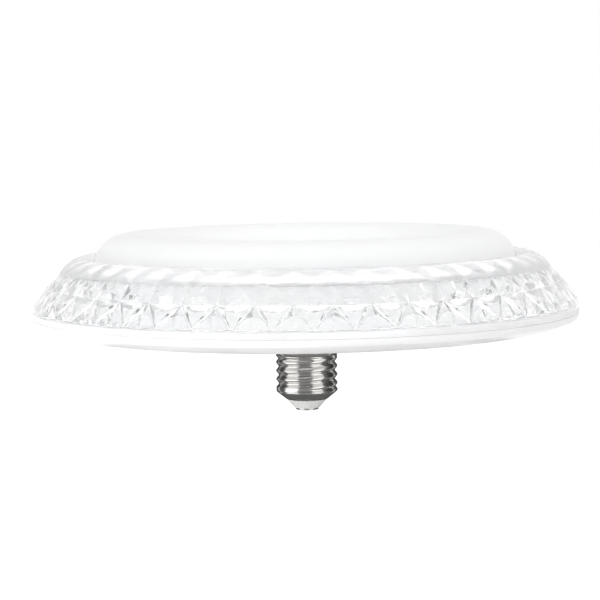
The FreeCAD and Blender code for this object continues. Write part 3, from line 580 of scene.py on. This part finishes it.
# crystal ring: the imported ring's cut facets, merged, with the smooth outside turned finer round them
# and the cut edges softened, as a mould leaves them
# a spot on the section is its inset from the lamp's edge and its rise from the seam
crystalShape = {
    "hemWall": 2.1 * mm,
    "hemEdge": 0.3 * mm,
    "hemHeight": 2.6 * mm,
    "grooveRises": (1.0 * mm, 1.5 * mm, 2.1 * mm, 2.6 * mm),
    "grooveDepth": 0.5 * mm,
    "floorRise": 3.0 * mm,
    "shoulder": (1.0 * mm, 6.2 * mm),
    "slopeBow": 0.9 * mm,
    "notch": (11.6 * mm, 18.2 * mm),
    "bulgeSide": (15.0 * mm, 22.6 * mm),
    "bulge": (21.2 * mm, 24.9 * mm),
    "rim": (25.7 * mm, 23.2 * mm),
    "rimCrown": 0.3 * mm,
    "topRise": 20.7 * mm,
    "seamLift": 0.06 * mm,
    "arcSteps": {"corner": 4, "shoulder": 6, "slope": 12, "bulge": 14, "rim": 8},
    "turns": 368,
    "downTilt": -0.02,
    "cutDegrees": 3,
    "edgeWidth": 0.25 * mm,
    "edgeSegments": 3,
    "smoothDegrees": 48,
}
crystalFinish = {
    "tone": (1.0, 1.0, 1.0, 1),
    "secondTone": (0.985, 0.99, 1.0, 1),
    "driftScale": 25.0,
    "roughness": (0.0, 0.012),
    "grainScale": 300.0,
    "grainDepth": 0.10 * mm,
    "bulgeHeight": (60.6 * mm, 70.0 * mm),
    "bulgeBlend": 0.8 * mm,
    "bulgeRoughness": 0.22,
    "shader": {"IOR": 1.5, "Transmission Weight": 0.95},
}
frostFinish = {
    "tone": (0.93, 0.93, 0.93, 1),
    "secondTone": (0.985, 0.99, 1.0, 1),
    "driftScale": 25.0,
    "roughness": (0.5, 0.6),
    "grainScale": 900.0,
    "grainDepth": 0.01 * mm,
    "shader": {"IOR": 1.5, "Transmission Weight": 0.35},
}


def crystalMaterial():
    work = startFinish("crystalClear", crystalFinish)
    # the bulge is softer than the cut slope
    bulge = spanOf(work, axisOf(work)["Height"], crystalFinish["bulgeHeight"], crystalFinish["bulgeBlend"])
    glossIn(work, bulge, crystalFinish["bulgeRoughness"])
    return endFinish(work, crystalFinish)


def arcPoints(first, middle, last, steps):
    # points after the first on the arc through three points of a section
    (ax, ay), (bx, by), (cx, cy) = first, middle, last
    twice = 2 * (ax * (by - cy) + bx * (cy - ay) + cx * (ay - by))
    squareA, squareB, squareC = ax * ax + ay * ay, bx * bx + by * by, cx * cx + cy * cy
    centreX = (squareA * (by - cy) + squareB * (cy - ay) + squareC * (ay - by)) / twice
    centreY = (squareA * (cx - bx) + squareB * (ax - cx) + squareC * (bx - ax)) / twice
    radius = math.hypot(ax - centreX, ay - centreY)
    start = math.atan2(ay - centreY, ax - centreX)
    toMiddle = (math.atan2(by - centreY, bx - centreX) - start) % (2 * math.pi)
    sweep = (math.atan2(cy - centreY, cx - centreX) - start) % (2 * math.pi)
    if toMiddle > sweep:
        sweep -= 2 * math.pi
    angles = [start + sweep * index / steps for index in range(1, steps + 1)]
    return [(centreX + radius * math.cos(angle), centreY + radius * math.sin(angle)) for angle in angles]


def ringSection(edge, seam):
    # the ring's turned section, from the top of the hem's inner wall down and round the outside to the rim
    values, steps = crystalShape, crystalShape["arcSteps"]
    shoulder, notch, bulgeSide, bulge, rim = (
        (edge - values[spot][0], seam + values[spot][1]) for spot in ("shoulder", "notch", "bulgeSide", "bulge", "rim")
    )
    grooveLow, cutLow, cutHigh, grooveHigh = (seam + rise for rise in values["grooveRises"])
    hem = edge - values["hemWall"]
    cut = hem + values["grooveDepth"]
    foot = seam + values["seamLift"]
    corner = values["hemEdge"]
    cornerCut = corner * (1 - math.sqrt(0.5))
    hemTop = (edge, seam + values["hemHeight"])
    run = (notch[0] - shoulder[0], notch[1] - shoulder[1])
    bow = values["slopeBow"] / math.hypot(*run)
    slopeMiddle = ((shoulder[0] + notch[0]) / 2 + run[1] * bow, (shoulder[1] + notch[1]) / 2 - run[0] * bow)
    shoulderMiddle = (edge - values["shoulder"][0] / 4, (hemTop[1] + shoulder[1]) / 2)
    rimMiddle = ((bulge[0] + rim[0]) / 2, (bulge[1] + rim[1]) / 2 + values["rimCrown"])
    points = [
        (hem, seam + values["floorRise"]), (hem, grooveHigh), (cut, cutHigh), (cut, cutLow), (hem, grooveLow),
        (hem, foot), (edge - corner, foot),
    ]
    points += arcPoints(points[-1], (edge - cornerCut, foot + cornerCut), (edge, foot + corner), steps["corner"])
    points.append(hemTop)
    points += arcPoints(hemTop, shoulderMiddle, shoulder, steps["shoulder"])
    # the notch itself is left out, so that the two arcs meet in a soft corner
    points += arcPoints(shoulder, slopeMiddle, notch, steps["slope"])[:-1]
    points += arcPoints(notch, bulgeSide, bulge, steps["bulge"])[1:]
    points += arcPoints(bulge, rimMiddle, rim, steps["rim"])
    points.append((rim[0], seam + values["topRise"]))
    return points


def turnedSkin(name, points, turns):
    # one corner of a plane drawn out point by point into the section, then spun round the lamp's axis
    bpy.ops.object.select_all(action="DESELECT")
    bpy.ops.mesh.primitive_plane_add(size=2 * mm, location=(0, 0, 0))
    skin = bpy.context.object
    skin.name = name
    editAll()
    bpy.ops.mesh.merge(type="CENTER")
    bpy.ops.transform.translate(value=(points[0][0], 0, points[0][1]))
    for here, there in zip(points, points[1:]):
        step = (there[0] - here[0], 0, there[1] - here[1])
        bpy.ops.mesh.extrude_vertices_move(TRANSFORM_OT_translate={"value": step})
    bpy.ops.mesh.select_all(action="SELECT")
    bpy.ops.mesh.spin(steps=turns, angle=2 * math.pi, center=(0, 0, 0), axis=(0, 0, 1))
    bpy.ops.mesh.select_all(action="SELECT")
    bpy.ops.mesh.remove_doubles(threshold=mergeGap)
    endEdit()
    return skin


def faceHeights(mesh, face):
    heights = [mesh.vertices[index].co.z for index in face.vertices]
    return min(heights), max(heights)


def looksDown(mesh, face, low, high):
    # the cut facets and the flat rings beside them look down between two heights
    lowest, highest = faceHeights(mesh, face)
    return lowest > low - tiny and highest < high + tiny and face.normal.z <= crystalShape["downTilt"]


def keepFacets(piece, low, high):
    # of the merged mesh only the facets cut into its inside stay
    mergePoints(piece)
    clearSelection()
    mesh = piece.data
    for face in mesh.polygons:
        lowest, highest = faceHeights(mesh, face)
        face.select = highest - lowest < tiny or not looksDown(mesh, face, low, high)
    bpy.ops.object.mode_set(mode="EDIT")
    bpy.ops.mesh.delete(type="FACE")
    endEdit()


def fillLevel(piece, height):
    # closes the flat ring between the facets and the turned skin at one height
    clearSelection()
    mesh = piece.data
    used = {}
    for face in mesh.polygons:
        for key in face.edge_keys:
            used[key] = used.get(key, 0) + 1
    for edge in mesh.edges:
        away = max(abs(mesh.vertices[index].co.z - height) for index in edge.vertices)
        if used.get(tuple(sorted(edge.vertices)), 0) == 1 and away < tiny:
            edge.select = True
            for index in edge.vertices:
                mesh.vertices[index].select = True
    bpy.ops.object.mode_set(mode="EDIT")
    bpy.ops.mesh.fill(use_beauty=True)
    endEdit()


def softenCuts(piece, low, high):
    # flat facets with their shared edges rounded
    mesh = piece.data
    beside = {}
    for face in mesh.polygons:
        if looksDown(mesh, face, low, high):
            face.use_smooth = False
            for key in face.edge_keys:
                beside.setdefault(key, []).append(face.normal.copy())
    weights = mesh.attributes.new("bevel_weight_edge", "FLOAT", "EDGE")
    count = 0
    for edge in mesh.edges:
        normals = beside.get(tuple(sorted(edge.vertices)), ())
        if len(normals) == 2 and normals[0].angle(normals[1], 0) > math.radians(crystalShape["cutDegrees"]):
            weights.data[edge.index].value = 1.0
            count += 1
    bevel = piece.modifiers.new("softEdges", "BEVEL")
    bevel.limit_method = "WEIGHT"
    bevel.width = crystalShape["edgeWidth"]
    bevel.segments = crystalShape["edgeSegments"]
    bpy.ops.object.modifier_apply(modifier=bevel.name)
    return count


def frostHem(ring, top):
    # the hem is frosted, where it is pushed over the pan's upstand
    ring.data.materials.append(crystalMaterial())
    ring.data.materials.append(endFinish(startFinish("crystalFrost", frostFinish), frostFinish))
    for face in ring.data.polygons:
        if faceHeights(ring.data, face)[1] < top + tiny:
            face.material_index = 1


def makeCrystalRing():
    values = crystalShape
    lowest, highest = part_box("crystal_ring")
    edge, seam = highest[0], lowest[2]
    low, high = seam + values["floorRise"], seam + values["topRise"]
    ring = bpy.data.objects.new("crystalRing", nodes["crystal_ring"].data.copy())
    scene.collection.objects.link(ring)
    keepFacets(ring, low, high)
    skin = turnedSkin("crystalSkin", ringSection(edge, seam), values["turns"])
    pickOnly(ring)
    skin.select_set(True)
    ring.data.materials.clear()
    bpy.ops.object.join()
    fillLevel(ring, low)
    fillLevel(ring, high)
    editAll()
    bpy.ops.mesh.normals_make_consistent(inside=False)
    endEdit()
    bpy.ops.object.shade_smooth_by_angle(angle=math.radians(values["smoothDegrees"]))
    softened = softenCuts(ring, low, high)
    frostHem(ring, seam + values["hemHeight"])
    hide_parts("crystal_ring")
    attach(ring, "root")
    print("crystal ring:", softened, "softened edges,", len(ring.data.polygons), "faces")


makeCrystalRing()


# opal cover: milky plastic that takes light in and lets it out again
opalValues = {
    "tone": (0.97, 0.97, 0.967, 1),
    "secondTone": (0.955, 0.957, 0.955, 1),
    "driftScale": 14.0,
    "roughness": (0.36, 0.46),
    "grainScale": 900.0,
    "grainDepth": 0.006 * mm,
    "shader": {
        "Subsurface Weight": 0.3, "Subsurface Scale": 0.008, "Subsurface Radius": (1.0, 0.95, 0.9),
        "Specular IOR Level": 0.35,
    },
}
dress("opal_cover", endFinish(startFinish("opalWhite", opalValues), opalValues))


# pan: white moulding with a satin skin, faint rings from its mould and a little handling dust
# marks are their scale, amount, tone and roughness
panValues = {
    "tone": (0.83, 0.83, 0.83, 1),
    "secondTone": (0.815, 0.817, 0.82, 1),
    "driftScale": 18.0,
    "roughness": (0.28, 0.4),
    "grainScale": 1100.0,
    "grainDepth": 0.008 * mm,
    "mouldRings": 5200.0,
    "mouldRingShare": 0.06,
    "marks": (240.0, 0.35, (0.86, 0.855, 0.84, 1), 0.5),
    "shader": {"Specular IOR Level": 0.45},
}


def panMaterial():
    work = startFinish("panWhite", panValues)
    raiseBy(work, turnedRings(work, panValues["mouldRings"]), panValues["mouldRingShare"])
    addMarks(work, panValues["marks"])
    return endFinish(work, panValues)


dress("back_pan", panMaterial())
print("white mouldings ready")


# cap's insulator: white moulded ring with a duller skin
# side rings: from and to height, the least radius, times wider, and rise
insulatorValues = {
    "tone": (0.63, 0.625, 0.61, 1),
    "secondTone": (0.6, 0.595, 0.58, 1),
    "driftScale": 160.0,
    "roughness": (0.35, 0.5),
    "grainScale": 2400.0,
    "grainDepth": 0.012 * mm,
    "marks": (900.0, 0.5, (0.53, 0.52, 0.5, 1), 0.6),
    "sideRings": (
        (0.7 * mm, 1.2 * mm, 4 * mm, 1.04, 0.0), (1.9 * mm, 2.1 * mm, 5 * mm, 1.09, 0.2 * mm),
        (2.8 * mm, 3.0 * mm, 5 * mm, 1.125, 0.4 * mm), (3.7 * mm, 3.9 * mm, 5 * mm, 1.145, 0.6 * mm),
        (4.3 * mm, 4.4 * mm, 5 * mm, 1.145, 0.5 * mm),
    ),
    "smoothDegrees": 30,
}

# cap: nickel plate on rolled brass, drawn lines round it, a painted highlight on the crests, and a rougher cone
# darkened with painted shade
capValues = {
    "tone": (0.74, 0.73, 0.71, 1),
    "secondTone": (0.68, 0.67, 0.65, 1),
    "driftScale": 220.0,
    "roughness": (0.14, 0.22),
    "grainScale": 3000.0,
    "grainDepth": 0.012 * mm,
    "rolledScale": 2600.0,
    "rolledDepth": 0.9,
    "marks": (2600.0, 0.45, (0.5, 0.49, 0.47, 1), 0.42),
    "crestRadius": (12.86 * mm, 13.3 * mm),
    "crestBlend": 0.15 * mm,
    # the crests' tone is a painted highlight
    "crestHighlightTone": (0.82, 0.81, 0.79, 1),
    "coneRings": (
        (3.9 * mm, 4.4 * mm, 5 * mm, 1.13, 0.6 * mm), (4.8 * mm, 5.25 * mm, 5 * mm, 1.085, 0.47 * mm),
        (5.7 * mm, 6.1 * mm, 5 * mm, 1.05, 0.32 * mm), (6.55 * mm, 6.95 * mm, 5 * mm, 1.02, 0.16 * mm),
    ),
    "coneHeight": (3.0 * mm, 7.9 * mm),
    "coneBlend": 0.3 * mm,
    # the cone's tone is painted shade
    "coneShadeTone": (0.42, 0.415, 0.405, 1),
    "coneRoughness": 0.34,
    "smoothDegrees": 40,
    "shader": {"Metallic": 1.0},
}

# centre contact: the same plate with turned rings, dulled where a holder presses
contactValues = {
    "tone": (0.64, 0.63, 0.6, 1),
    "secondTone": (0.56, 0.55, 0.53, 1),
    "driftScale": 300.0,
    "roughness": (0.26, 0.38),
    "grainScale": 3600.0,
    "grainDepth": 0.01 * mm,
    "latheRings": 26000.0,
    "latheRingShare": 0.2,
    "marks": (1800.0, 0.8, (0.4, 0.39, 0.36, 1), 0.5),
    "shader": {"Metallic": 1.0},
}


def insulatorMaterial():
    work = startFinish("insulatorWhite", insulatorValues)
    addMarks(work, insulatorValues["marks"])
    return endFinish(work, insulatorValues)


def capMaterial():
    values = capValues
    work = startFinish("nickelPlate", values)
    tree = work["tree"]
    axis = axisOf(work)
    rolled = noiseNode(tree, axis["Rolled"], values["rolledScale"], 3.0, (-700, -500))
    raiseBy(work, rolled, values["rolledDepth"])
    addMarks(work, values["marks"], axis["Rolled"])
    # painted highlight: the thread crests are lighter in tone, broken by the rolled lines
    crestHighlight = spanOf(work, axis["Radius"], values["crestRadius"], values["crestBlend"])
    toneIn(work, mathNode(tree, "MULTIPLY", crestHighlight, rolled, (-450, -700)), values["crestHighlightTone"])
    # painted shade: the down-facing cone is darker in tone; its rougher gloss is the finish
    cone = spanOf(work, axis["Height"], values["coneHeight"], values["coneBlend"])
    toneIn(work, cone, values["coneShadeTone"], (250, 350))
    glossIn(work, cone, values["coneRoughness"], (250, -50))
    return endFinish(work, values)


def contactMaterial():
    work = startFinish("contactPlate", contactValues)
    raiseBy(work, turnedRings(work, contactValues["latheRings"]), contactValues["latheRingShare"])
    addMarks(work, contactValues["marks"])
    return endFinish(work, contactValues)


def turnedCopy(node, name, moves, angle):
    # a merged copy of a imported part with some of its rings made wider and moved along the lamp's axis
    piece = bpy.data.objects.new(name, nodes[node].data.copy())
    scene.collection.objects.link(piece)
    mergePoints(piece)
    heights = [vertex.co.z for vertex in piece.data.vertices]
    radii = [math.hypot(vertex.co.x, vertex.co.y) for vertex in piece.data.vertices]
    for low, high, inside, wider, rise in moves:
        clearSelection()
        for vertex, height, radius in zip(piece.data.vertices, heights, radii):
            vertex.select = low < height < high and radius > inside
        bpy.ops.object.mode_set(mode="EDIT")
        bpy.ops.transform.resize(value=(wider, wider, 1), center_override=(0, 0, 0))
        bpy.ops.transform.translate(value=(0, 0, rise))
        endEdit()
    bpy.ops.object.shade_smooth_by_angle(angle=math.radians(angle))
    return piece


def putFor(piece, node, material):
    piece.data.materials.clear()
    piece.data.materials.append(material)
    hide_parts(node)
    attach(piece, "root")


putFor(
    turnedCopy("cap_shell", "capShell", capValues["coneRings"], capValues["smoothDegrees"]),
    "cap_shell", capMaterial(),
)
putFor(
    turnedCopy("cap_insulator", "capInsulator", insulatorValues["sideRings"], insulatorValues["smoothDegrees"]),
    "cap_insulator", insulatorMaterial(),
)
dress("centre_contact", contactMaterial())
print("cap ready")


# board with the LEDs: white mask over faint copper, and painted shade: near-black specks in broken rings round its
# rim, which show through the crystal as its small dark sparks
boardValues = {
    "tone": (0.93, 0.93, 0.925, 1),
    "secondTone": (0.9, 0.905, 0.9, 1),
    "driftScale": 30.0,
    "roughness": (0.4, 0.55),
    "grainScale": 1500.0,
    "grainDepth": 0.01 * mm,
    "trackScale": 34.0,
    "trackTone": (0.86, 0.865, 0.855, 1),
    # the rings, blend, scale, range and tone below are painted shade: near-black specks that the crystal shows
    "shadeSpeckRings": ((88.0 * mm, 89.4 * mm), (94.0 * mm, 96.6 * mm), (101.0 * mm, 103.0 * mm)),
    "shadeSpeckBlend": 0.2 * mm,
    "shadeSpeckScale": 170.0,
    "shadeSpeckRange": (0.48, 0.51),
    "shadeSpeckTone": (0.012, 0.012, 0.014, 1),
}

# LEDs: white packages with a yellow window
chipValues = {
    "tone": (0.92, 0.915, 0.9, 1),
    "secondTone": (0.88, 0.875, 0.86, 1),
    "driftScale": 500.0,
    "roughness": (0.35, 0.5),
    "grainScale": 4000.0,
    "grainDepth": 0.006 * mm,
    "windowHeight": (44.9 * mm, 45.03 * mm),
    "windowBlend": 0.02 * mm,
    "windowTone": (0.9, 0.66, 0.12, 1),
    "phosphorTone": (0.96, 0.78, 0.3, 1),
    "phosphorScale": 9000.0,
}

# driver's board: green mask and lighter tracks
driverValues = {
    "tone": (0.045, 0.2, 0.075, 1),
    "secondTone": (0.06, 0.25, 0.1, 1),
    "driftScale": 120.0,
    "roughness": (0.3, 0.42),
    "grainScale": 2000.0,
    "grainDepth": 0.015 * mm,
    "trackScale": 130.0,
    "trackTone": (0.09, 0.34, 0.15, 1),
}
trackValues = {"randomness": 0.7, "edge": (0.40, 0.43), "toneShare": 0.6, "rise": 1.6}


def addTracks(work, values):
    # straight-sided copper areas under the mask, a little proud of it
    tree = work["tree"]
    cells = addNode(
        tree, "ShaderNodeTexVoronoi", (-900, -900), distance="CHEBYCHEV", feature="F1",
        Vector=work["where"], Scale=values["trackScale"], Randomness=trackValues["randomness"],
    )
    copper = rangeNode(tree, cells.outputs["Distance"], 1.0, 0.0, (-650, -900), trackValues["edge"])
    shown = mathNode(tree, "MULTIPLY", copper, trackValues["toneShare"], (-450, -900))
    toneIn(work, shown, values["trackTone"], (-100, 450))
    raiseBy(work, copper, trackValues["rise"], (-450, -1050))


def boardMaterial():
    values = boardValues
    work = startFinish("boardWhite", values)
    tree = work["tree"]
    addTracks(work, values)
    radius = axisOf(work)["Radius"]
    # painted shade: near-black broken rings under the crystal, standing in for the dark specks it shows
    shadeRings = 0.0
    for limits in values["shadeSpeckRings"]:
        shadeRings = mathNode(tree, "MAXIMUM", shadeRings, spanOf(work, radius, limits, values["shadeSpeckBlend"]), (-700, -1100))
    shadeSpots = noiseNode(tree, work["where"], values["shadeSpeckScale"], 0.0, (-700, -1300))
    shadeSpecks = rangeNode(tree, shadeSpots, 0.0, 1.0, (-450, -1300), values["shadeSpeckRange"])
    toneIn(work, mathNode(tree, "MULTIPLY", shadeRings, shadeSpecks, (-200, -1200)), values["shadeSpeckTone"])
    return endFinish(work, values)


def chipMaterial():
    values = chipValues
    work = startFinish("ledPackage", values)
    tree = work["tree"]
    window = spanOf(work, axisOf(work)["Height"], values["windowHeight"], values["windowBlend"])
    grains = noiseNode(tree, work["where"], values["phosphorScale"], 2.0, (-700, -300))
    toneIn(work, window, mixNode(tree, grains, values["windowTone"], values["phosphorTone"], (-450, -300)))
    return endFinish(work, values)


def driverMaterial():
    work = startFinish("boardGreen", driverValues)
    addTracks(work, driverValues)
    return endFinish(work, driverValues)


dress("led_board", boardMaterial())
dress("led_chips", chipMaterial())
dress("driver_board", driverMaterial())
print("boards ready")


# parts on the boards, wires and screws: their tones, gloss, grain and the tone of their rub marks
# bare metal: ends lie between two places on X, and tinned legs below a height or beyond a distance from a line on Y
partsValues = {
    "wire_terminal": {
        "name": "terminalWhite", "tone": (0.86, 0.855, 0.83, 1), "secondTone": (0.81, 0.805, 0.78, 1),
        "driftScale": 200.0, "roughness": (0.4, 0.55), "grainScale": 2600.0, "grainDepth": 0.015 * mm,
        "markTone": (0.6, 0.59, 0.56, 1),
    },
    "electrolytic_capacitor": {
        "name": "capacitorSleeve", "tone": (0.03, 0.032, 0.045, 1), "secondTone": (0.05, 0.052, 0.065, 1),
        "driftScale": 150.0, "roughness": (0.18, 0.3), "grainScale": 1400.0, "grainDepth": 0.02 * mm,
        "markTone": (0.14, 0.14, 0.15, 1), "ends": ((-8.15 * mm, -6.0 * mm),), "endTone": (0.62, 0.62, 0.63, 1),
    },
    "film_capacitor": {
        "name": "filmYellow", "tone": (0.6, 0.38, 0.04, 1), "secondTone": (0.68, 0.46, 0.07, 1),
        "driftScale": 180.0, "roughness": (0.3, 0.45), "grainScale": 2200.0, "grainDepth": 0.02 * mm,
        "markTone": (0.4, 0.28, 0.06, 1), "tinBelow": 34.89 * mm,
    },
    "inductor_core": {
        "name": "ferriteCore", "tone": (0.055, 0.053, 0.055, 1), "secondTone": (0.1, 0.098, 0.1, 1),
        "driftScale": 600.0, "roughness": (0.55, 0.8), "grainScale": 3600.0, "grainDepth": 0.05 * mm,
        "markTone": (0.2, 0.2, 0.2, 1),
    },
    "inductor_winding": {
        "name": "windingCopper", "tone": (0.68, 0.26, 0.11, 1), "secondTone": (0.56, 0.19, 0.08, 1),
        "driftScale": 500.0, "roughness": (0.22, 0.34), "grainScale": 3000.0, "grainDepth": 0.02 * mm,
        "markTone": (0.75, 0.38, 0.2, 1), "shader": {"Metallic": 1.0, "Coat Weight": 0.6, "Coat Roughness": 0.12},
    },
    "bridge_rectifier": {
        "name": "rectifierBlack", "tone": (0.022, 0.022, 0.024, 1), "secondTone": (0.04, 0.04, 0.042, 1),
        "driftScale": 500.0, "roughness": (0.5, 0.68), "grainScale": 4200.0, "grainDepth": 0.03 * mm,
        "markTone": (0.12, 0.12, 0.12, 1), "tinBeyond": (-10.5 * mm, 2.02 * mm),
    },
    "driver_ic": {
        "name": "driverChipBlack", "tone": (0.02, 0.02, 0.022, 1), "secondTone": (0.035, 0.035, 0.037, 1),
        "driftScale": 500.0, "roughness": (0.48, 0.62), "grainScale": 4600.0, "grainDepth": 0.025 * mm,
        "markTone": (0.1, 0.1, 0.1, 1), "tinBeyond": (-9.0 * mm, 1.97 * mm),
    },
    "fuse_resistor": {
        "name": "resistorGreen", "tone": (0.1, 0.22, 0.13, 1), "secondTone": (0.14, 0.28, 0.17, 1),
        "driftScale": 260.0, "roughness": (0.45, 0.62), "grainScale": 3000.0, "grainDepth": 0.04 * mm,
        "markTone": (0.25, 0.34, 0.27, 1), "ends": ((20.26 * mm, 30.0 * mm), (5.0 * mm, 12.74 * mm)),
        "endTone": (0.7, 0.7, 0.71, 1),
    },
    "varistor": {
        "name": "varistorBlue", "tone": (0.02, 0.08, 0.32, 1), "secondTone": (0.03, 0.12, 0.4, 1),
        "driftScale": 220.0, "roughness": (0.25, 0.42), "grainScale": 1600.0, "grainDepth": 0.04 * mm,
        "markTone": (0.12, 0.2, 0.42, 1), "tinBelow": 35.4 * mm,
    },
    "board_screws": {
        "name": "boardScrewZinc", "tone": (0.62, 0.62, 0.61, 1), "secondTone": (0.5, 0.5, 0.5, 1),
        "driftScale": 400.0, "roughness": (0.24, 0.38), "grainScale": 3600.0, "grainDepth": 0.02 * mm,
        "markTone": (0.36, 0.35, 0.34, 1), "shader": {"Metallic": 1.0},
    },
    "driver_screws": {
        "name": "driverScrewZinc", "tone": (0.6, 0.6, 0.6, 1), "secondTone": (0.5, 0.5, 0.49, 1),
        "driftScale": 420.0, "roughness": (0.26, 0.4), "grainScale": 3800.0, "grainDepth": 0.02 * mm,
        "markTone": (0.36, 0.35, 0.34, 1), "shader": {"Metallic": 1.0},
    },
    "phase_wire": {
        "name": "phaseWireRed", "tone": (0.46, 0.018, 0.014, 1), "secondTone": (0.56, 0.03, 0.02, 1),
        "driftScale": 260.0, "roughness": (0.35, 0.5), "grainScale": 2600.0, "grainDepth": 0.02 * mm,
        "markTone": (0.3, 0.05, 0.04, 1),
    },
    "positive_wire": {
        "name": "positiveWireRed", "tone": (0.5, 0.02, 0.016, 1), "secondTone": (0.58, 0.035, 0.024, 1),
        "driftScale": 250.0, "roughness": (0.35, 0.5), "grainScale": 2500.0, "grainDepth": 0.02 * mm,
        "markTone": (0.3, 0.05, 0.04, 1),
    },
    "neutral_wire": {
        "name": "neutralWireBlack", "tone": (0.018, 0.018, 0.018, 1), "secondTone": (0.03, 0.03, 0.03, 1),
        "driftScale": 260.0, "roughness": (0.38, 0.52), "grainScale": 2600.0, "grainDepth": 0.02 * mm,
        "markTone": (0.09, 0.09, 0.09, 1),
    },
    "negative_wire": {
        "name": "negativeWireBlack", "tone": (0.02, 0.02, 0.02, 1), "secondTone": (0.034, 0.034, 0.034, 1),
        "driftScale": 250.0, "roughness": (0.38, 0.52), "grainScale": 2500.0, "grainDepth": 0.02 * mm,
        "markTone": (0.09, 0.09, 0.09, 1),
    },
}
# what the parts' marks and bare metal share
sharedValues = {
    "markScale": 0.5,
    "markAmount": 0.6,
    "markDuller": 0.12,
    "endRoughness": 0.25,
    "tinTone": (0.72, 0.72, 0.71, 1),
    "tinRoughness": 0.28,
    "tinLowest": 34.0 * mm,
    "tinReach": 5 * mm,
}


def addMetal(work, mask, tone, roughness):
    toneIn(work, mask, tone, (100, 500))
    glossIn(work, mask, roughness, (100, -100))
    if "metal" in work:
        mask = mathNode(work["tree"], "MAXIMUM", work["metal"], mask, (150, -700))
    work["metal"] = mask


def addBareMetal(work, values):
    tree, shared = work["tree"], sharedValues
    parts = splitNode(tree, work["where"], (-1200, -700))
    for limits in values.get("ends", ()):
        addMetal(work, spanOf(work, parts["X"], limits), values["endTone"], shared["endRoughness"])
    if "tinBelow" in values:
        legs = spanOf(work, parts["Z"], (shared["tinLowest"], values["tinBelow"]))
        addMetal(work, legs, shared["tinTone"], shared["tinRoughness"])
    if "tinBeyond" in values:
        middle, half = values["tinBeyond"]
        aside = mathNode(tree, "SUBTRACT", parts["Y"], middle, (-1000, -900))
        away = mathNode(tree, "ABSOLUTE", aside, None, (-850, -900))
        legs = spanOf(work, away, (half, half + shared["tinReach"]))
        addMetal(work, legs, shared["tinTone"], shared["tinRoughness"])
    link(tree, work["metal"], work["shader"].inputs["Metallic"])


def partMaterial(values):
    work = startFinish(values["name"], values)
    shared = sharedValues
    dull = values["roughness"][1] + shared["markDuller"]
    addMarks(work, (values["grainScale"] * shared["markScale"], shared["markAmount"], values["markTone"], dull))
    if {"ends", "tinBelow", "tinBeyond"} & values.keys():
        addBareMetal(work, values)
    return endFinish(work, values)


for node, values in partsValues.items():
    dress(node, partMaterial(values))
print("parts dressed:", len(partsValues))
